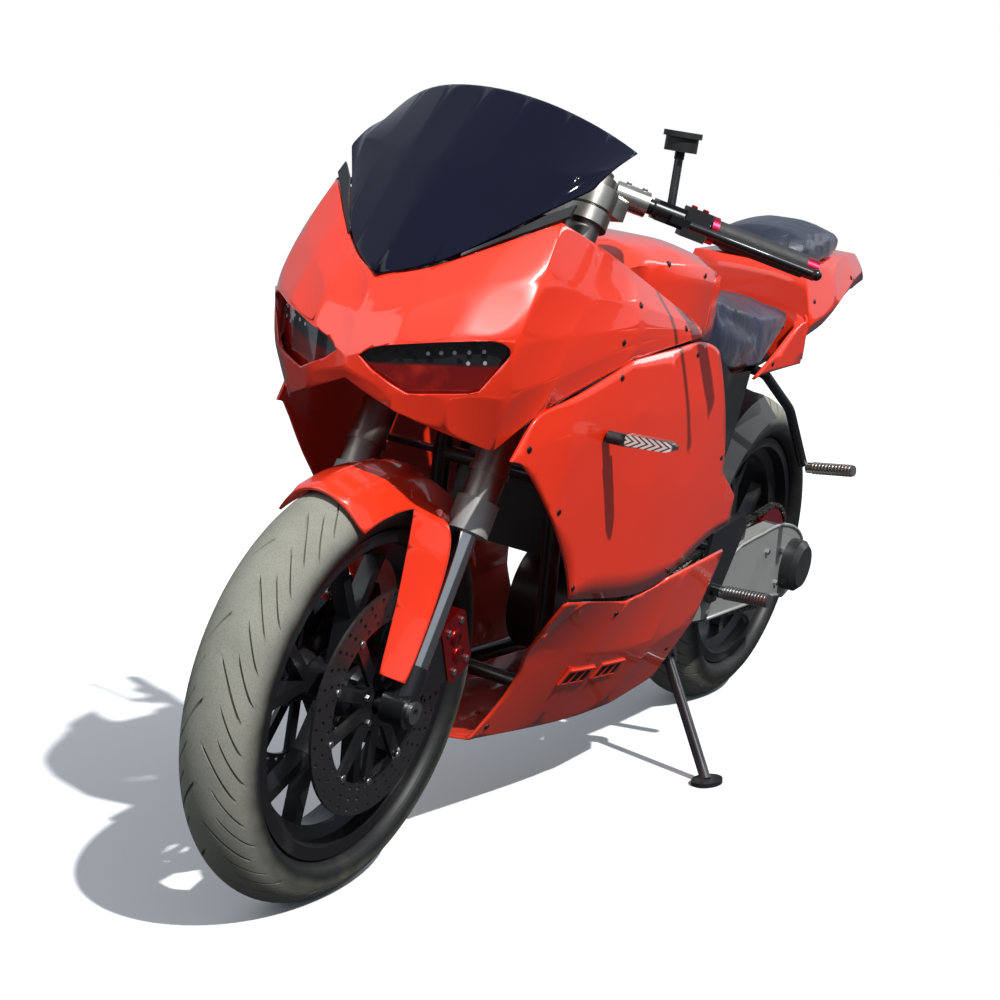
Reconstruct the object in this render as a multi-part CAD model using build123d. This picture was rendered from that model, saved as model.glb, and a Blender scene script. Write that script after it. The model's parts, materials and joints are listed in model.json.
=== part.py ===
from build123d import *
import math
import os

# Electric sport motorcycle, drawn upright in its own frame and stood on its side stand at the end.
# Upright frame: millimetres, x to the rider's left, y rearward from the front axle, z up from the ground.

# Wheels and stance
WHEELBASE = 1330.0
LEAN_DEG = 10.84
FRONT_TYRE_R = 293.0
FRONT_TYRE_HALF = 55.0
REAR_TYRE_R = 305.0
REAR_TYRE_HALF = 70.0
TREAD_CROWN_SHARE = 0.8
TYRE_WALL = 10.0
RIM_SEAT_R = 216.0
RIM_FLANGE_R = 225.0
FRONT_RIM_HALF = 40.0
REAR_RIM_HALF = 52.0
RIM_WALL = 6.0
BEAD_GAP = 0.3
SPOKE_COUNT = 5
SPOKE_SPREAD_DEG = 15.0
FRONT_HUB_R = 36.0
FRONT_HUB_HALF = 40.0
REAR_HUB_R = 62.0
REAR_HUB_HALF = 60.0
RUN_GAP = 0.05
SEAM_GAP = 0.4

# Steering head and fork
RAKE_DEG = 25.0
FORK_OFFSET = 32.0
FORK_LEG_X = 98.0
STANCHION_R = 16.5
FORK_TUBE_R = 25.0
FORK_COLLAR_R = 29.5
COLLAR_LOW_T = 246.0
COLLAR_TOP_T = 292.0
FORK_TUBE_TOP_T = 772.0
FORK_RING_T = 333.0
LOWER_YOKE_T = 430.0
LOWER_YOKE_H = 34.0
TOP_YOKE_T = 702.0
TOP_YOKE_H = 20.0
STEM_R = 15.0
HEAD_TUBE_R = 29.0
AXLE_R = 10.0
AXLE_BORE_R = 7.0
AXLE_HALF = 122.0
DISC_X = 66.0
DISC_R = 155.0
DISC_INNER_R = 112.0
DISC_HALF_T = 2.2

# Handlebar clip-ons: the left bar's start, and its end at the bar-end weight
BAR_START = (112.0, 360.0, 976.0)
BAR_TIP = (362.0, 518.0, 914.0)
BAR_R = 11.0
GRIP_R = 17.0
GRIP_START = 148.0
GRIP_END = 284.0

# Rear end
SWING_PIVOT = (842.0, 298.0)
SWING_ARM_IN = 112.0
SWING_ARM_OUT = 146.0
SWING_PIVOT_R = 12.0
CHAIN_X = 92.0
CHAIN_HALF = 7.0
REAR_SPROCKET_R = 104.0
DRIVE_SPROCKET_R = 34.0
MOTOR_Y = 690.0
MOTOR_Z = 292.0
MOTOR_R = 92.0
REAR_DISC_X = -88.0
REAR_DISC_R = 110.0
TAIL_END_Y = 1775.0

# Bodywork
SKIN = 4.0
NOSE_STAY_X = 183.9
STAND_PIVOT = (126.0, 826.0, 214.0)
STAND_FOOT_GROUND = (281.0, 731.0)
STAND_AXIS = (0.928, 0.0, 0.371)

OUT = "parts"
os.makedirs(OUT, exist_ok=True)

FRONT_AXLE = Vector(0, 0, FRONT_TYRE_R)
REAR_AXLE = Vector(0, WHEELBASE, REAR_TYRE_R)
RAKE = math.radians(RAKE_DEG)
FORK_UP = Vector(0, math.sin(RAKE), math.cos(RAKE))
FORK_FWD = Vector(0, -math.cos(RAKE), math.sin(RAKE))
STEER_BASE = FRONT_AXLE - FORK_FWD * FORK_OFFSET
LEAN = math.radians(LEAN_DEG)

# The bars' height sets how far the leaning machine's middle lies to the left of its tyres
SHIFT_X = BAR_TIP[2] * math.sin(LEAN)
SHIFT_Y = (TAIL_END_Y - FRONT_TYRE_R) / 2


def place(shape):
    """Lean the upright shape on its side stand and centre it over the origin."""
    leaned = shape.rotate(Axis.Y, LEAN_DEG)
    return leaned.translate(Vector(-SHIFT_X, -SHIFT_Y, 0))


def save(name, *solids):
    """Write one node; solids that do not touch stay separate."""
    placed = [place(s) for s in solids]
    shape = placed[0] if len(placed) == 1 else Compound(children=placed)
    shape.label = name
    export_step(shape, os.path.join(OUT, name + ".step"))


def flip(shape):
    """The same shape on the other side of the machine."""
    return shape.mirror(Plane.YZ)


def vec(p):
    return p if isinstance(p, Vector) else Vector(*p)


def rod(p, q, r):
    """A round bar from p to q."""
    p, q = vec(p), vec(q)
    plane = Plane(origin=p, z_dir=q - p)
    return extrude(plane * Circle(r), (q - p).length)


def pipe(p, q, r_out, r_in):
    """A tube from p to q."""
    return rod(p, q, r_out) - rod(p, q, r_in)


def prism_x(yz, x0, x1):
    """A profile in side view, y and z, drawn out from x0 to x1."""
    face = make_face(Polyline([Vector(x0, y, z) for y, z in yz], close=True))
    return extrude(face, abs(x1 - x0), dir=(1 if x1 > x0 else -1, 0, 0))


def prism_y(xz, y0, y1):
    """A profile in front view, x and z, drawn out from y0 to y1."""
    face = make_face(Polyline([Vector(x, y0, z) for x, z in xz], close=True))
    return extrude(face, abs(y1 - y0), dir=(0, 1 if y1 > y0 else -1, 0))


def turned(profile, centre, x_sign=1):
    """A profile of (x, radius) points turned about the wheel axis through centre."""
    pts = [Vector(x_sign * x, 0, r) for x, r in profile]
    ring = revolve(make_face(Polyline(pts, close=True)), Axis.X, 360)
    return ring.translate(vec(centre))


def bent_tube(points, radii, r, r_in=0.0):
    """A round tube along straight runs joined by arcs."""
    path = FilletPolyline(*[vec(p) for p in points], radius=radii)
    plane = Plane(origin=path @ 0, z_dir=path % 0)
    tube = sweep(plane * Circle(r), path=path)
    if r_in:
        tube = tube - sweep(plane * Circle(r_in), path=path)
    return tube


def skin_loft(columns, inward, wall=SKIN):
    """A wall through columns of points, each column closed by the same line set inward."""
    wires = []
    for column, way in zip(columns, inward):
        step = Vector(*way).normalized() * wall
        outer = [vec(p) for p in column]
        inner = [p + step for p in reversed(outer)]
        wires.append(Wire.make_polygon(outer + inner, close=True))
    return Solid.make_loft(wires, ruled=True)


def solid_loft(sections):
    """A closed body through sections of as many points each."""
    wires = [Wire.make_polygon([vec(p) for p in s], close=True) for s in sections]
    return Solid.make_loft(wires, ruled=True)


def leg(t, side=1, forward=0.0, out=0.0):
    """A point up a fork leg, t above the front axle, moved forward of it or outward."""
    return Vector(side * (FORK_LEG_X + out), 0, FRONT_TYRE_R) + FORK_UP * t + FORK_FWD * forward


def stem(t, forward=0.0, x=0.0):
    """A point up the steering axis, t above its foot."""
    return STEER_BASE + FORK_UP * t + FORK_FWD * forward + Vector(x, 0, 0)


# Wheels

def tyre(radius, half, rim_half, centre):
    """A hollow tyre whose tread is round from shoulder to shoulder."""
    crown = half * TREAD_CROWN_SHARE
    shoulder_r = radius - crown * 0.72
    wide_r = radius - crown * 1.08
    bead_r = RIM_SEAT_R + BEAD_GAP
    bead_x = rim_half - RIM_WALL - BEAD_GAP
    outer = [
        ThreePointArc((-half * 0.93, shoulder_r), (0, radius), (half * 0.93, shoulder_r)),
        ThreePointArc((half * 0.93, shoulder_r), (half, wide_r), (bead_x, bead_r + 12)),
        Line((bead_x, bead_r + 12), (bead_x, bead_r)),
        Line((bead_x, bead_r), (bead_x - TYRE_WALL, bead_r)),
        Line((bead_x - TYRE_WALL, bead_r), (bead_x - TYRE_WALL, bead_r + 12)),
        ThreePointArc((bead_x - TYRE_WALL, bead_r + 12), (half - TYRE_WALL, wide_r),
                      ((half - TYRE_WALL) * 0.93, shoulder_r - TYRE_WALL * 0.6)),
        ThreePointArc(((half - TYRE_WALL) * 0.93, shoulder_r - TYRE_WALL * 0.6), (0, radius - TYRE_WALL),
                      (-(half - TYRE_WALL) * 0.93, shoulder_r - TYRE_WALL * 0.6)),
        ThreePointArc((-(half - TYRE_WALL) * 0.93, shoulder_r - TYRE_WALL * 0.6),
                      (-half + TYRE_WALL, wide_r), (-bead_x + TYRE_WALL, bead_r + 12)),
        Line((-bead_x + TYRE_WALL, bead_r + 12), (-bead_x + TYRE_WALL, bead_r)),
        Line((-bead_x + TYRE_WALL, bead_r), (-bead_x, bead_r)),
        Line((-bead_x, bead_r), (-bead_x, bead_r + 12)),
        ThreePointArc((-bead_x, bead_r + 12), (-half, wide_r), (-half * 0.93, shoulder_r)),
    ]
    face = make_face(Plane.XZ * Wire(outer))
    return revolve(face, Axis.X, 360).translate(vec(centre))


def rim(rim_half, hub_r, hub_half, bore_r, centre):
    """A cast rim: dropped barrel, flanges, hub and forked spokes."""
    well = RIM_SEAT_R - 24
    barrel = turned([
        (-rim_half, RIM_FLANGE_R), (-rim_half + RIM_WALL, RIM_FLANGE_R), (-rim_half + RIM_WALL, RIM_SEAT_R),
        (-rim_half + 18, RIM_SEAT_R - 3), (-rim_half + 26, well), (rim_half - 26, well),
        (rim_half - 18, RIM_SEAT_R - 3), (rim_half - RIM_WALL, RIM_SEAT_R), (rim_half - RIM_WALL, RIM_FLANGE_R),
        (rim_half, RIM_FLANGE_R), (rim_half, RIM_SEAT_R - 8), (rim_half - 20, RIM_SEAT_R - 12),
        (rim_half - 28, well - RIM_WALL), (-rim_half + 28, well - RIM_WALL),
        (-rim_half + 20, RIM_SEAT_R - 12), (-rim_half, RIM_SEAT_R - 8)], (0, 0, 0))
    hub = turned([(-hub_half, bore_r), (hub_half, bore_r), (hub_half, hub_r - 6), (hub_half - 8, hub_r),
                  (-hub_half + 8, hub_r), (-hub_half, hub_r - 6)], (0, 0, 0))
    wheel = barrel + hub
    fork_r = hub_r + 0.42 * (well - hub_r)
    for i in range(SPOKE_COUNT):
        turn = 360.0 / SPOKE_COUNT * i
        root = solid_loft([
            [(-15, -17, hub_r - 8), (15, -17, hub_r - 8), (15, 17, hub_r - 8), (-15, 17, hub_r - 8)],
            [(-13, -13, fork_r), (13, -13, fork_r), (13, 13, fork_r), (-13, 13, fork_r)]])
        wheel += root.rotate(Axis.X, turn)
        for side in (-1, 1):
            swing = math.radians(side * SPOKE_SPREAD_DEG)
            tip_y, tip_z = math.sin(swing) * (well - 3), math.cos(swing) * (well - 3)
            arm = solid_loft([
                [(-12, side * 1 - 9, fork_r - 8), (12, side * 1 - 9, fork_r - 8),
                 (12, side * 1 + 9, fork_r - 8), (-12, side * 1 + 9, fork_r - 8)],
                [(-11, tip_y - 9, tip_z), (11, tip_y - 9, tip_z), (11, tip_y + 9, tip_z), (-11, tip_y + 9, tip_z)]])
            wheel += arm.rotate(Axis.X, turn)
    return wheel.translate(vec(centre))


def disc(x, r_out, r_in, centre):
    """A flat brake disc at x."""
    ring = turned([(x - DISC_HALF_T, r_in), (x + DISC_HALF_T, r_in), (x + DISC_HALF_T, r_out),
                   (x - DISC_HALF_T, r_out)], (0, 0, 0))
    return ring.translate(vec(centre))


def carrier(x, r_in, r_out, centre, arms):
    """The arms that carry a disc on its hub."""
    side = 1 if x > 0 else -1
    face_x = abs(x) - DISC_HALF_T
    body = turned([(FRONT_HUB_HALF + SEAM_GAP / 2, r_in), (face_x + 2, r_in), (face_x + 2, r_in + 22),
                   (FRONT_HUB_HALF + SEAM_GAP / 2, r_in + 12)], (0, 0, 0), side)
    for i in range(arms):
        arm = prism_y([(side * (face_x - 4), r_in + 8), (side * (face_x + 2), r_in + 8),
                       (side * (face_x + 2), r_out), (side * (face_x - 4), r_out)], -9, 9)
        body += arm.rotate(Axis.X, 360.0 / arms * i)
    return body.translate(vec(centre))


def front_wheel():
    save("front_tyre", tyre(FRONT_TYRE_R, FRONT_TYRE_HALF, FRONT_RIM_HALF, FRONT_AXLE))
    save("front_rim", rim(FRONT_RIM_HALF, FRONT_HUB_R, FRONT_HUB_HALF, AXLE_R + RUN_GAP, FRONT_AXLE))
    save("front_brake_discs", *[disc(s * DISC_X, DISC_R, DISC_INNER_R, FRONT_AXLE) for s in (1, -1)])
    save("front_disc_carriers",
         *[carrier(s * DISC_X, 18, DISC_INNER_R - SEAM_GAP, FRONT_AXLE, 10) for s in (1, -1)])


def rear_wheel():
    save("rear_tyre", tyre(REAR_TYRE_R, REAR_TYRE_HALF, REAR_RIM_HALF, REAR_AXLE))
    save("rear_rim", rim(REAR_RIM_HALF, REAR_HUB_R, REAR_HUB_HALF, AXLE_R + RUN_GAP, REAR_AXLE))
    hub_face = REAR_HUB_HALF + SEAM_GAP
    sprocket = turned([(hub_face, 24), (CHAIN_X + 3, 24), (CHAIN_X + 3, REAR_SPROCKET_R - 8),
                       (CHAIN_X - 3, REAR_SPROCKET_R - 8), (CHAIN_X - 3, 46), (hub_face, 46)], REAR_AXLE)
    save("rear_sprocket", sprocket)
    x0 = REAR_DISC_X
    rotor = turned([(hub_face, 24), (-x0 + DISC_HALF_T, 24), (-x0 + DISC_HALF_T, REAR_DISC_R),
                    (-x0 - DISC_HALF_T, REAR_DISC_R), (-x0 - DISC_HALF_T, 46), (hub_face, 46)],
                   REAR_AXLE, -1)
    save("rear_brake_disc", rotor)


# Fork and steering

def fork():
    tubes, collars, stanchions, lugs = [], [], [], []
    for s in (1, -1):
        tube = rod(leg(COLLAR_TOP_T + SEAM_GAP, s), leg(FORK_TUBE_TOP_T, s), FORK_TUBE_R)
        ring = rod(leg(FORK_RING_T - 5, s), leg(FORK_RING_T + 5, s), FORK_TUBE_R + 3)
        cap = rod(leg(FORK_TUBE_TOP_T - 1, s), leg(FORK_TUBE_TOP_T + 10, s), 17)
        bore = rod(leg(COLLAR_TOP_T - 1, s), leg(FORK_TUBE_TOP_T - 20, s), STANCHION_R + RUN_GAP)
        tubes.append(tube + ring + cap - bore)
        collars.append(pipe(leg(COLLAR_LOW_T, s), leg(COLLAR_TOP_T, s), FORK_COLLAR_R, STANCHION_R + RUN_GAP))
        stanchions.append(rod(leg(24, s), leg(COLLAR_TOP_T + 150, s), STANCHION_R))
        lug = rod(leg(-6, s), leg(58, s), 20.5) + rod(leg(0, s, out=-19), leg(0, s, out=17), 24)
        # The arm that carries the brake caliper behind the leg
        lug += prism_x([(4, 296), (24, 344), (77.8, 377.5), (114.1, 306.3)], s * 84, s * 99)
        lug = lug - rod(leg(24, s), leg(80, s), STANCHION_R + RUN_GAP / 5)
        lug = lug - rod((s * 60, 0, FRONT_TYRE_R), (s * 140, 0, FRONT_TYRE_R), AXLE_R + RUN_GAP / 5)
        lug = lug - rod(leg(0, s, out=17), leg(0, s, out=40), 15 + SEAM_GAP)
        lugs.append(lug)
    save("fork_tubes", *tubes)
    save("fork_collars", *collars)
    save("fork_stanchions", *stanchions)
    save("fork_axle_lugs", *lugs)
    bar = rod((-AXLE_HALF, 0, FRONT_TYRE_R), (AXLE_HALF, 0, FRONT_TYRE_R), AXLE_R)
    for s in (1, -1):
        bar += rod((s * (FORK_LEG_X + 17 + SEAM_GAP), 0, FRONT_TYRE_R), (s * AXLE_HALF, 0, FRONT_TYRE_R), 15)
    bar -= rod((-AXLE_HALF - 1, 0, FRONT_TYRE_R), (AXLE_HALF + 1, 0, FRONT_TYRE_R), AXLE_BORE_R)
    save("front_axle", bar)


def yoke_plate(t, height, half, leg_r, nose):
    """A yoke: a waisted plate that grips both legs and the stem."""
    plane = Plane(origin=stem(t), x_dir=(1, 0, 0), z_dir=FORK_UP)
    x = FORK_LEG_X
    # The plane's y axis points rearward, so the legs lie at minus the fork offset
    f = -FORK_OFFSET
    outline = Polyline([(-x, f - nose), (-x * 0.4, f - nose + 10), (x * 0.4, f - nose + 10), (x, f - nose),
                        (x, f + nose), (28, 30), (-28, 30), (-x, f + nose)], close=True)
    body = extrude(plane * make_face(outline), height)
    for s in (1, -1):
        body += extrude(plane * Pos(s * x, f) * Circle(half), height)
        body -= extrude(plane * Pos(s * x, f) * Circle(leg_r), height)
    return body


def yokes():
    lower = yoke_plate(LOWER_YOKE_T, LOWER_YOKE_H, FORK_TUBE_R + 9, FORK_TUBE_R + RUN_GAP / 5, 22)
    lower += rod(stem(LOWER_YOKE_T), stem(TOP_YOKE_T + TOP_YOKE_H + 4), STEM_R)
    save("lower_yoke", lower)
    top = yoke_plate(TOP_YOKE_T, TOP_YOKE_H, FORK_TUBE_R + 8, FORK_TUBE_R + RUN_GAP / 5, 20)
    top -= rod(stem(TOP_YOKE_T - 2), stem(TOP_YOKE_T + TOP_YOKE_H + 2), STEM_R + RUN_GAP / 5)
    save("top_yoke", top)
    nut = rod(stem(TOP_YOKE_T + TOP_YOKE_H + 4.3), stem(TOP_YOKE_T + TOP_YOKE_H + 14), 17)
    save("stem_nut", nut)


def bar_point(s, forward=0.0, up=0.0):
    """A point s along the left bar from its clamp, moved forward or up from its axis."""
    start, tip = vec(BAR_START), vec(BAR_TIP)
    along = (tip - start).normalized()
    ahead = Vector(along.Y, -along.X, 0).normalized()
    above = ahead.cross(along)
    return start + along * s + ahead * forward + above * up


def bar_rod(s0, s1, r, forward=0.0, up=0.0):
    return rod(bar_point(s0, forward, up), bar_point(s1, forward, up), r)


def bar_block(s0, s1, fwd, up):
    """A block along the bar from s0 to s1, between two distances forward and two up."""
    def corners(s):
        return [bar_point(s, fwd[0], up[0]), bar_point(s, fwd[1], up[0]),
                bar_point(s, fwd[1], up[1]), bar_point(s, fwd[0], up[1])]
    return solid_loft([corners(s0), corners(s1)])


def both(shape):
    return shape, flip(shape)


def handlebars():
    length = (vec(BAR_TIP) - vec(BAR_START)).length
    bar_length = length - 14
    low = TOP_YOKE_T + TOP_YOKE_H + 3
    ring = rod(leg(low + 1), leg(low + 31), FORK_TUBE_R + 8)
    neck = solid_loft([
        [leg(low + 2, 1, 0, -10), leg(low + 2, 1, 0, 26), leg(low + 30, 1, 0, 26), leg(low + 30, 1, 0, -10)],
        [leg(low + 4, 1, -42, 2), leg(low + 4, 1, -32, 40), leg(low + 30, 1, -32, 40),
         leg(low + 30, 1, -42, 2)]])
    clamp = ring + neck + bar_rod(-4, 44, BAR_R + 7)
    clamp -= rod(leg(low - 2), leg(low + 40), FORK_TUBE_R + RUN_GAP / 5)
    clamp -= bar_rod(-10, 60, BAR_R + RUN_GAP / 5)
    save("handlebar_clamps", *both(clamp))
    save("handlebars", *both(bar_rod(0, bar_length, BAR_R)))
    fit = BAR_R + RUN_GAP / 5
    grip = bar_rod(GRIP_START, GRIP_END, GRIP_R) - bar_rod(GRIP_START - 5, GRIP_END + 5, fit)
    save("grips", *both(grip))
    collar = bar_rod(GRIP_START - 10, GRIP_START - SEAM_GAP, GRIP_R + 3)
    collar -= bar_rod(GRIP_START - 20, GRIP_START + 5, fit)
    weight = bar_rod(GRIP_END + SEAM_GAP, length, GRIP_R - 2)
    weight -= bar_rod(GRIP_END - 5, bar_length + RUN_GAP, fit)
    save("grip_collars_and_ends", *both(collar), *both(weight))


def controls():
    fit = BAR_R + RUN_GAP / 5
    box = bar_block(98, 134, (-20, 22), (-22, 20)) - bar_rod(90, 140, fit)
    perch = bar_block(54, 94, (-18, 44), (-14, 14))
    perch += bar_rod(50, 92, 13, forward=34)
    base = bar_point(60, 8, 78)
    perch += rod(bar_point(74, 30, 0), base, 6) + rod(base - Vector(0, 0, 4), base + Vector(0, 0, 6.2), 7)
    perch -= bar_rod(40, 110, fit)
    cup = rod(base + Vector(0, 0, 6.5), base + Vector(0, 0, 26), 23)
    cup += rod(base + Vector(0, 0, 26), base + Vector(0, 0, 34), 27)
    points = [bar_point(97, 62, -4), bar_point(150, 74, -4), bar_point(215, 80, -4), bar_point(282, 92, -4)]
    blade = bent_tube(points, [90, 90], 5.5) + Pos(points[-1].X, points[-1].Y, points[-1].Z) * Sphere(8)
    lever = blade + bar_block(72, 99, (47.6, 70), (-9, 2))
    save("switchgear", *both(box))
    save("brake_masters", *both(perch))
    save("fluid_reservoirs", *both(cup))
    save("brake_levers", *both(lever))


def front_brakes():
    reach = DISC_R - 17
    swing = 27.0
    centre = FRONT_AXLE + Vector(0, reach * math.cos(math.radians(swing)), reach * math.sin(math.radians(swing)))
    body = Pos(DISC_X + 4, 0, 0) * Box(62, 60, 100)
    body = chamfer(body.edges().filter_by(Axis.X), 10)
    body = body.rotate(Axis.X, swing).translate(centre)
    slot = turned([(DISC_X - DISC_HALF_T - 7, 60), (DISC_X + DISC_HALF_T + 3, 60),
                   (DISC_X + DISC_HALF_T + 3, DISC_R + 5), (DISC_X - DISC_HALF_T - 7, DISC_R + 5)], FRONT_AXLE)
    caliper = body - slot
    save("front_calipers", *both(caliper))


def front_mudguard():
    inner, outer = FRONT_TYRE_R + 15, FRONT_TYRE_R + 18.5

    def arch(r, half, drop):
        return [(-half, r - drop), (-half * 0.6, r - drop * 0.28), (0, r), (half * 0.6, r - drop * 0.28),
                (half, r - drop)]
    profile = arch(outer, 66, 52) + list(reversed(arch(inner, 62.5, 50)))
    face = make_face(Polyline([Vector(x, 0, r) for x, r in profile], close=True))
    hood = revolve(face.rotate(Axis.X, 22), Axis.X, -76).translate(FRONT_AXLE)
    # A shield down the front of each leg: height up the leg, then outward and forward of its
    # outer and its inner edge
    rows = [(30, (9, 25), (-21, 45)), (120, (10, 25), (-23, 62)), (200, (10, 34), (-28, 84)),
            (238, (0, 39), (-32, 92)), (264, (-35, 40), (-46, 96))]
    sections = []
    for t, (out_a, fwd_a), (out_b, fwd_b) in rows:
        a, b = leg(t, 1, fwd_a, out_a), leg(t, 1, fwd_b, out_b)
        thick = FORK_FWD * 3.5
        sections.append([a, b, b + thick, a + thick])
    shield = solid_loft(sections)
    shield += rod(leg(252, 1, 26.3, -20), leg(252, 1, 54, -20), 6)
    save("front_mudguard", hood + shield + flip(shield))


# Bodywork

def nose():
    # Character lines of the left half: top edge, shoulder, brow, lamp floor and chin ridge
    columns = [
        [(0, -57, 840), (0, -80, 792), (0, -94, 744), (0, -95, 730), (0, -90, 717)],
        [(60, -22, 862), (60, -64, 815), (60, -87, 771), (60, -84, 712), (60, -79, 689)],
        [(120, 34, 905), (122, -12, 850), (122, -56, 787), (122, -48, 716), (120, -34, 668)],
        [(172, 88, 940), (184, 40, 872), (184, -4, 800), (180, 4, 726), (158, 26, 648)],
        [(178, 200, 912), (196, 165, 850), (200, 110, 800), (200, 95, 750), (192, 76, 704)],
        [(178, 310, 880), (204, 300, 838), (212, 290, 810), (213, 290, 790), (213, 290, 768)],
        [(182, 549, 806), (192, 549, 800), (196, 549, 795), (198, 549, 790), (199, 549, 785)]]
    inward = [(0, 1, 0), (0, 1, 0), (-0.3, 1, 0), (-1, 1, 0), (-1, 0, 0), (-1, 0, 0), (-1, 0, 0)]
    half = skin_loft(columns, inward)
    lamp = [(16, 748), (30, 760), (60, 770), (120, 784), (180, 796), (181, 781), (150, 724), (80, 712), (34, 734)]
    half -= prism_y(lamp, -160, 60)
    save("nose_fairing", half + flip(half))
    lens_columns = [
        [(14, -84, 762), (14, -86, 728)],
        [(60, -74, 784), (60, -70, 700)],
        [(122, -42, 796), (122, -32, 704)],
        [(172, 0, 804), (172, 8, 716)]]
    lens = skin_loft(lens_columns, [(0, 1, 0)] * 4, 7)
    save("headlights", *both(lens))


def windscreen():
    columns = [
        [(0, -54, 845), (0, 50, 980), (0, 157, 1092)],
        [(60, -19, 867), (62, 76, 992), (60, 160, 1088)],
        [(104, 26, 905), (120, 110, 1000), (112, 180, 1076)],
        [(150, 92, 955), (164, 130, 1000), (160, 212, 1056)],
        [(186, 130, 985), (186, 168, 1012), (186, 240, 1038)]]
    mirrored = [[(-x, y, z) for x, y, z in c] for c in reversed(columns[1:])]
    screen = skin_loft(mirrored + columns, [(0, 1, -0.6)] * (2 * len(columns) - 1), 3.2)
    save("windscreen", screen)
    pad_columns = [
        [(84, 1, 882.6), (84, 3.2, 886.4)],
        [(120, 36, 909.5), (120, 45, 916.6)],
        [(150, 68, 930.4), (150, 85, 946.6)],
        [(176, 95, 949.4), (176, 110, 964.6)]]
    pad = skin_loft(pad_columns, [(0, 1, -0.5)] * 4, 5)
    save("mirror_pads", *both(pad))


def side_columns():
    """Sections of the left side wall from its crease down to the keel."""
    # y, then x and z of crease, waist, widest, seam, flank, chine and keel
    rows = [
        (20, (176, 684), (180, 640), (184, 560), (186, 440), (150, 330), (66, 172), (2, 160)),
        (150, (206, 738), (210, 680), (206, 580), (198, 440), (144, 334), (66, 172), (2, 160)),
        (285, (213, 768), (218, 700), (214, 590), (203, 424), (138, 328), (66, 172), (2, 160)),
        (430, (211, 782), (219, 690), (219, 560), (209, 402), (166, 300), (86, 160), (2, 150)),
        (620, (202, 782), (214, 680), (216, 540), (209, 412), (182, 290), (112, 152), (2, 146)),
        (840, (186, 760), (198, 660), (204, 520), (200, 420), (180, 300), (140, 200), (2, 180))]
    return [[(x, y, z) for x, z in pts] for y, *pts in rows]


def side_fairings():
    columns = side_columns()
    inward = [(-1, 0, 0)] * len(columns)
    wall = skin_loft([c[:4] for c in columns], inward)
    crease = [(34, 640), (60, 680), (76, 700), (290, 764.5), (548, 781.5)]
    rear = [(612, 766), (640, 729), (706, 600), (711, 564), (760, 536), (796, 515), (806, 400)]
    seam = [(713, 463), (539, 407), (428, 398), (242, 426)]
    arch = [(212, 482), (143, 553), (87, 610), (57, 636)]
    outline = crease + rear[:6] + [(800, 468)] + seam + arch
    side = wall & prism_x(outline, 120, 260)
    # A panel gap along the crease and the seam keeps the skins apart
    flank = skin_loft([[p for p in c[3:7]] for c in columns], [(-0.6, 0, 0.6)] * len(columns))
    low = [(242, 424), (428, 396), (539, 405), (713, 461), (800, 466), (806, 400), (784, 295), (779, 228),
           (770, 150), (272, 130), (272, 169), (287, 208), (296, 246), (291, 287), (264, 335), (246, 387)]
    belly = flank & prism_x(low, 1, 260)
    for s, name in ((1, "left"), (-1, "right")):
        save("side_fairing_" + name, side if s > 0 else flip(side))
        save("belly_fairing_" + name, belly if s > 0 else flip(belly))


def pad_section(y, half, top, low, shoulder, inset=0.0, drop=0.0):
    """A domed section at y, smaller all round by inset and deeper by drop."""
    half, top, shoulder, low = half - inset, top - inset, shoulder - inset / 2, low - drop
    return [(-half, y, low), (-half, y, shoulder), (-half * 0.72, y, top - 12), (-half * 0.3, y, top),
            (half * 0.3, y, top), (half * 0.72, y, top - 12), (half, y, shoulder), (half, y, low)]


def tank_cover():
    # y, half width, top, bottom and shoulder height
    rows = [(420, 78, 880, 800, 856), (500, 118, 910, 780, 878), (640, 132, 912, 762, 880),
            (760, 120, 898, 752, 868), (832, 102, 880, 752, 852)]
    cover = solid_loft([pad_section(*r) for r in rows])
    first, last = rows[0], rows[-1]
    inner = [(first[0] + SKIN, *first[1:])] + rows[1:-1] + [(last[0] - SKIN, *last[1:])]
    cover -= solid_loft([pad_section(*r, inset=SKIN, drop=20) for r in inner])
    save("tank_cover", cover)


def seats():
    rider = [(832.4, 96, 846, 740, 826), (920, 112, 826, 688.8, 806), (1040, 126, 806, 693.6, 788),
             (1140, 122, 800, 742, 786), (1200, 108, 806, 758, 792)]
    save("rider_seat", solid_loft([pad_section(*r) for r in rider]))
    pillion = [(1196, 70, 894, 867.7, 886), (1240, 104, 930, 870.6, 904), (1360, 106, 950, 878.4, 922),
               (1470, 84, 940, 890.8, 924), (1520, 50, 922, 896.4, 914)]
    save("passenger_seat", solid_loft([pad_section(*r) for r in pillion]))


def tail_section(y, low, belt, top, inset=0.0, drop=0.0):
    """A six-sided section of the tail, smaller by inset and deeper by drop."""
    left = [(low[0] - inset, y, low[1] - drop), (belt[0] - inset, y, belt[1]), (top[0] - inset, y, top[1] - inset)]
    return [(-x, yy, z) for x, yy, z in left] + [(x, yy, z) for x, yy, z in reversed(left)]


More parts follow.
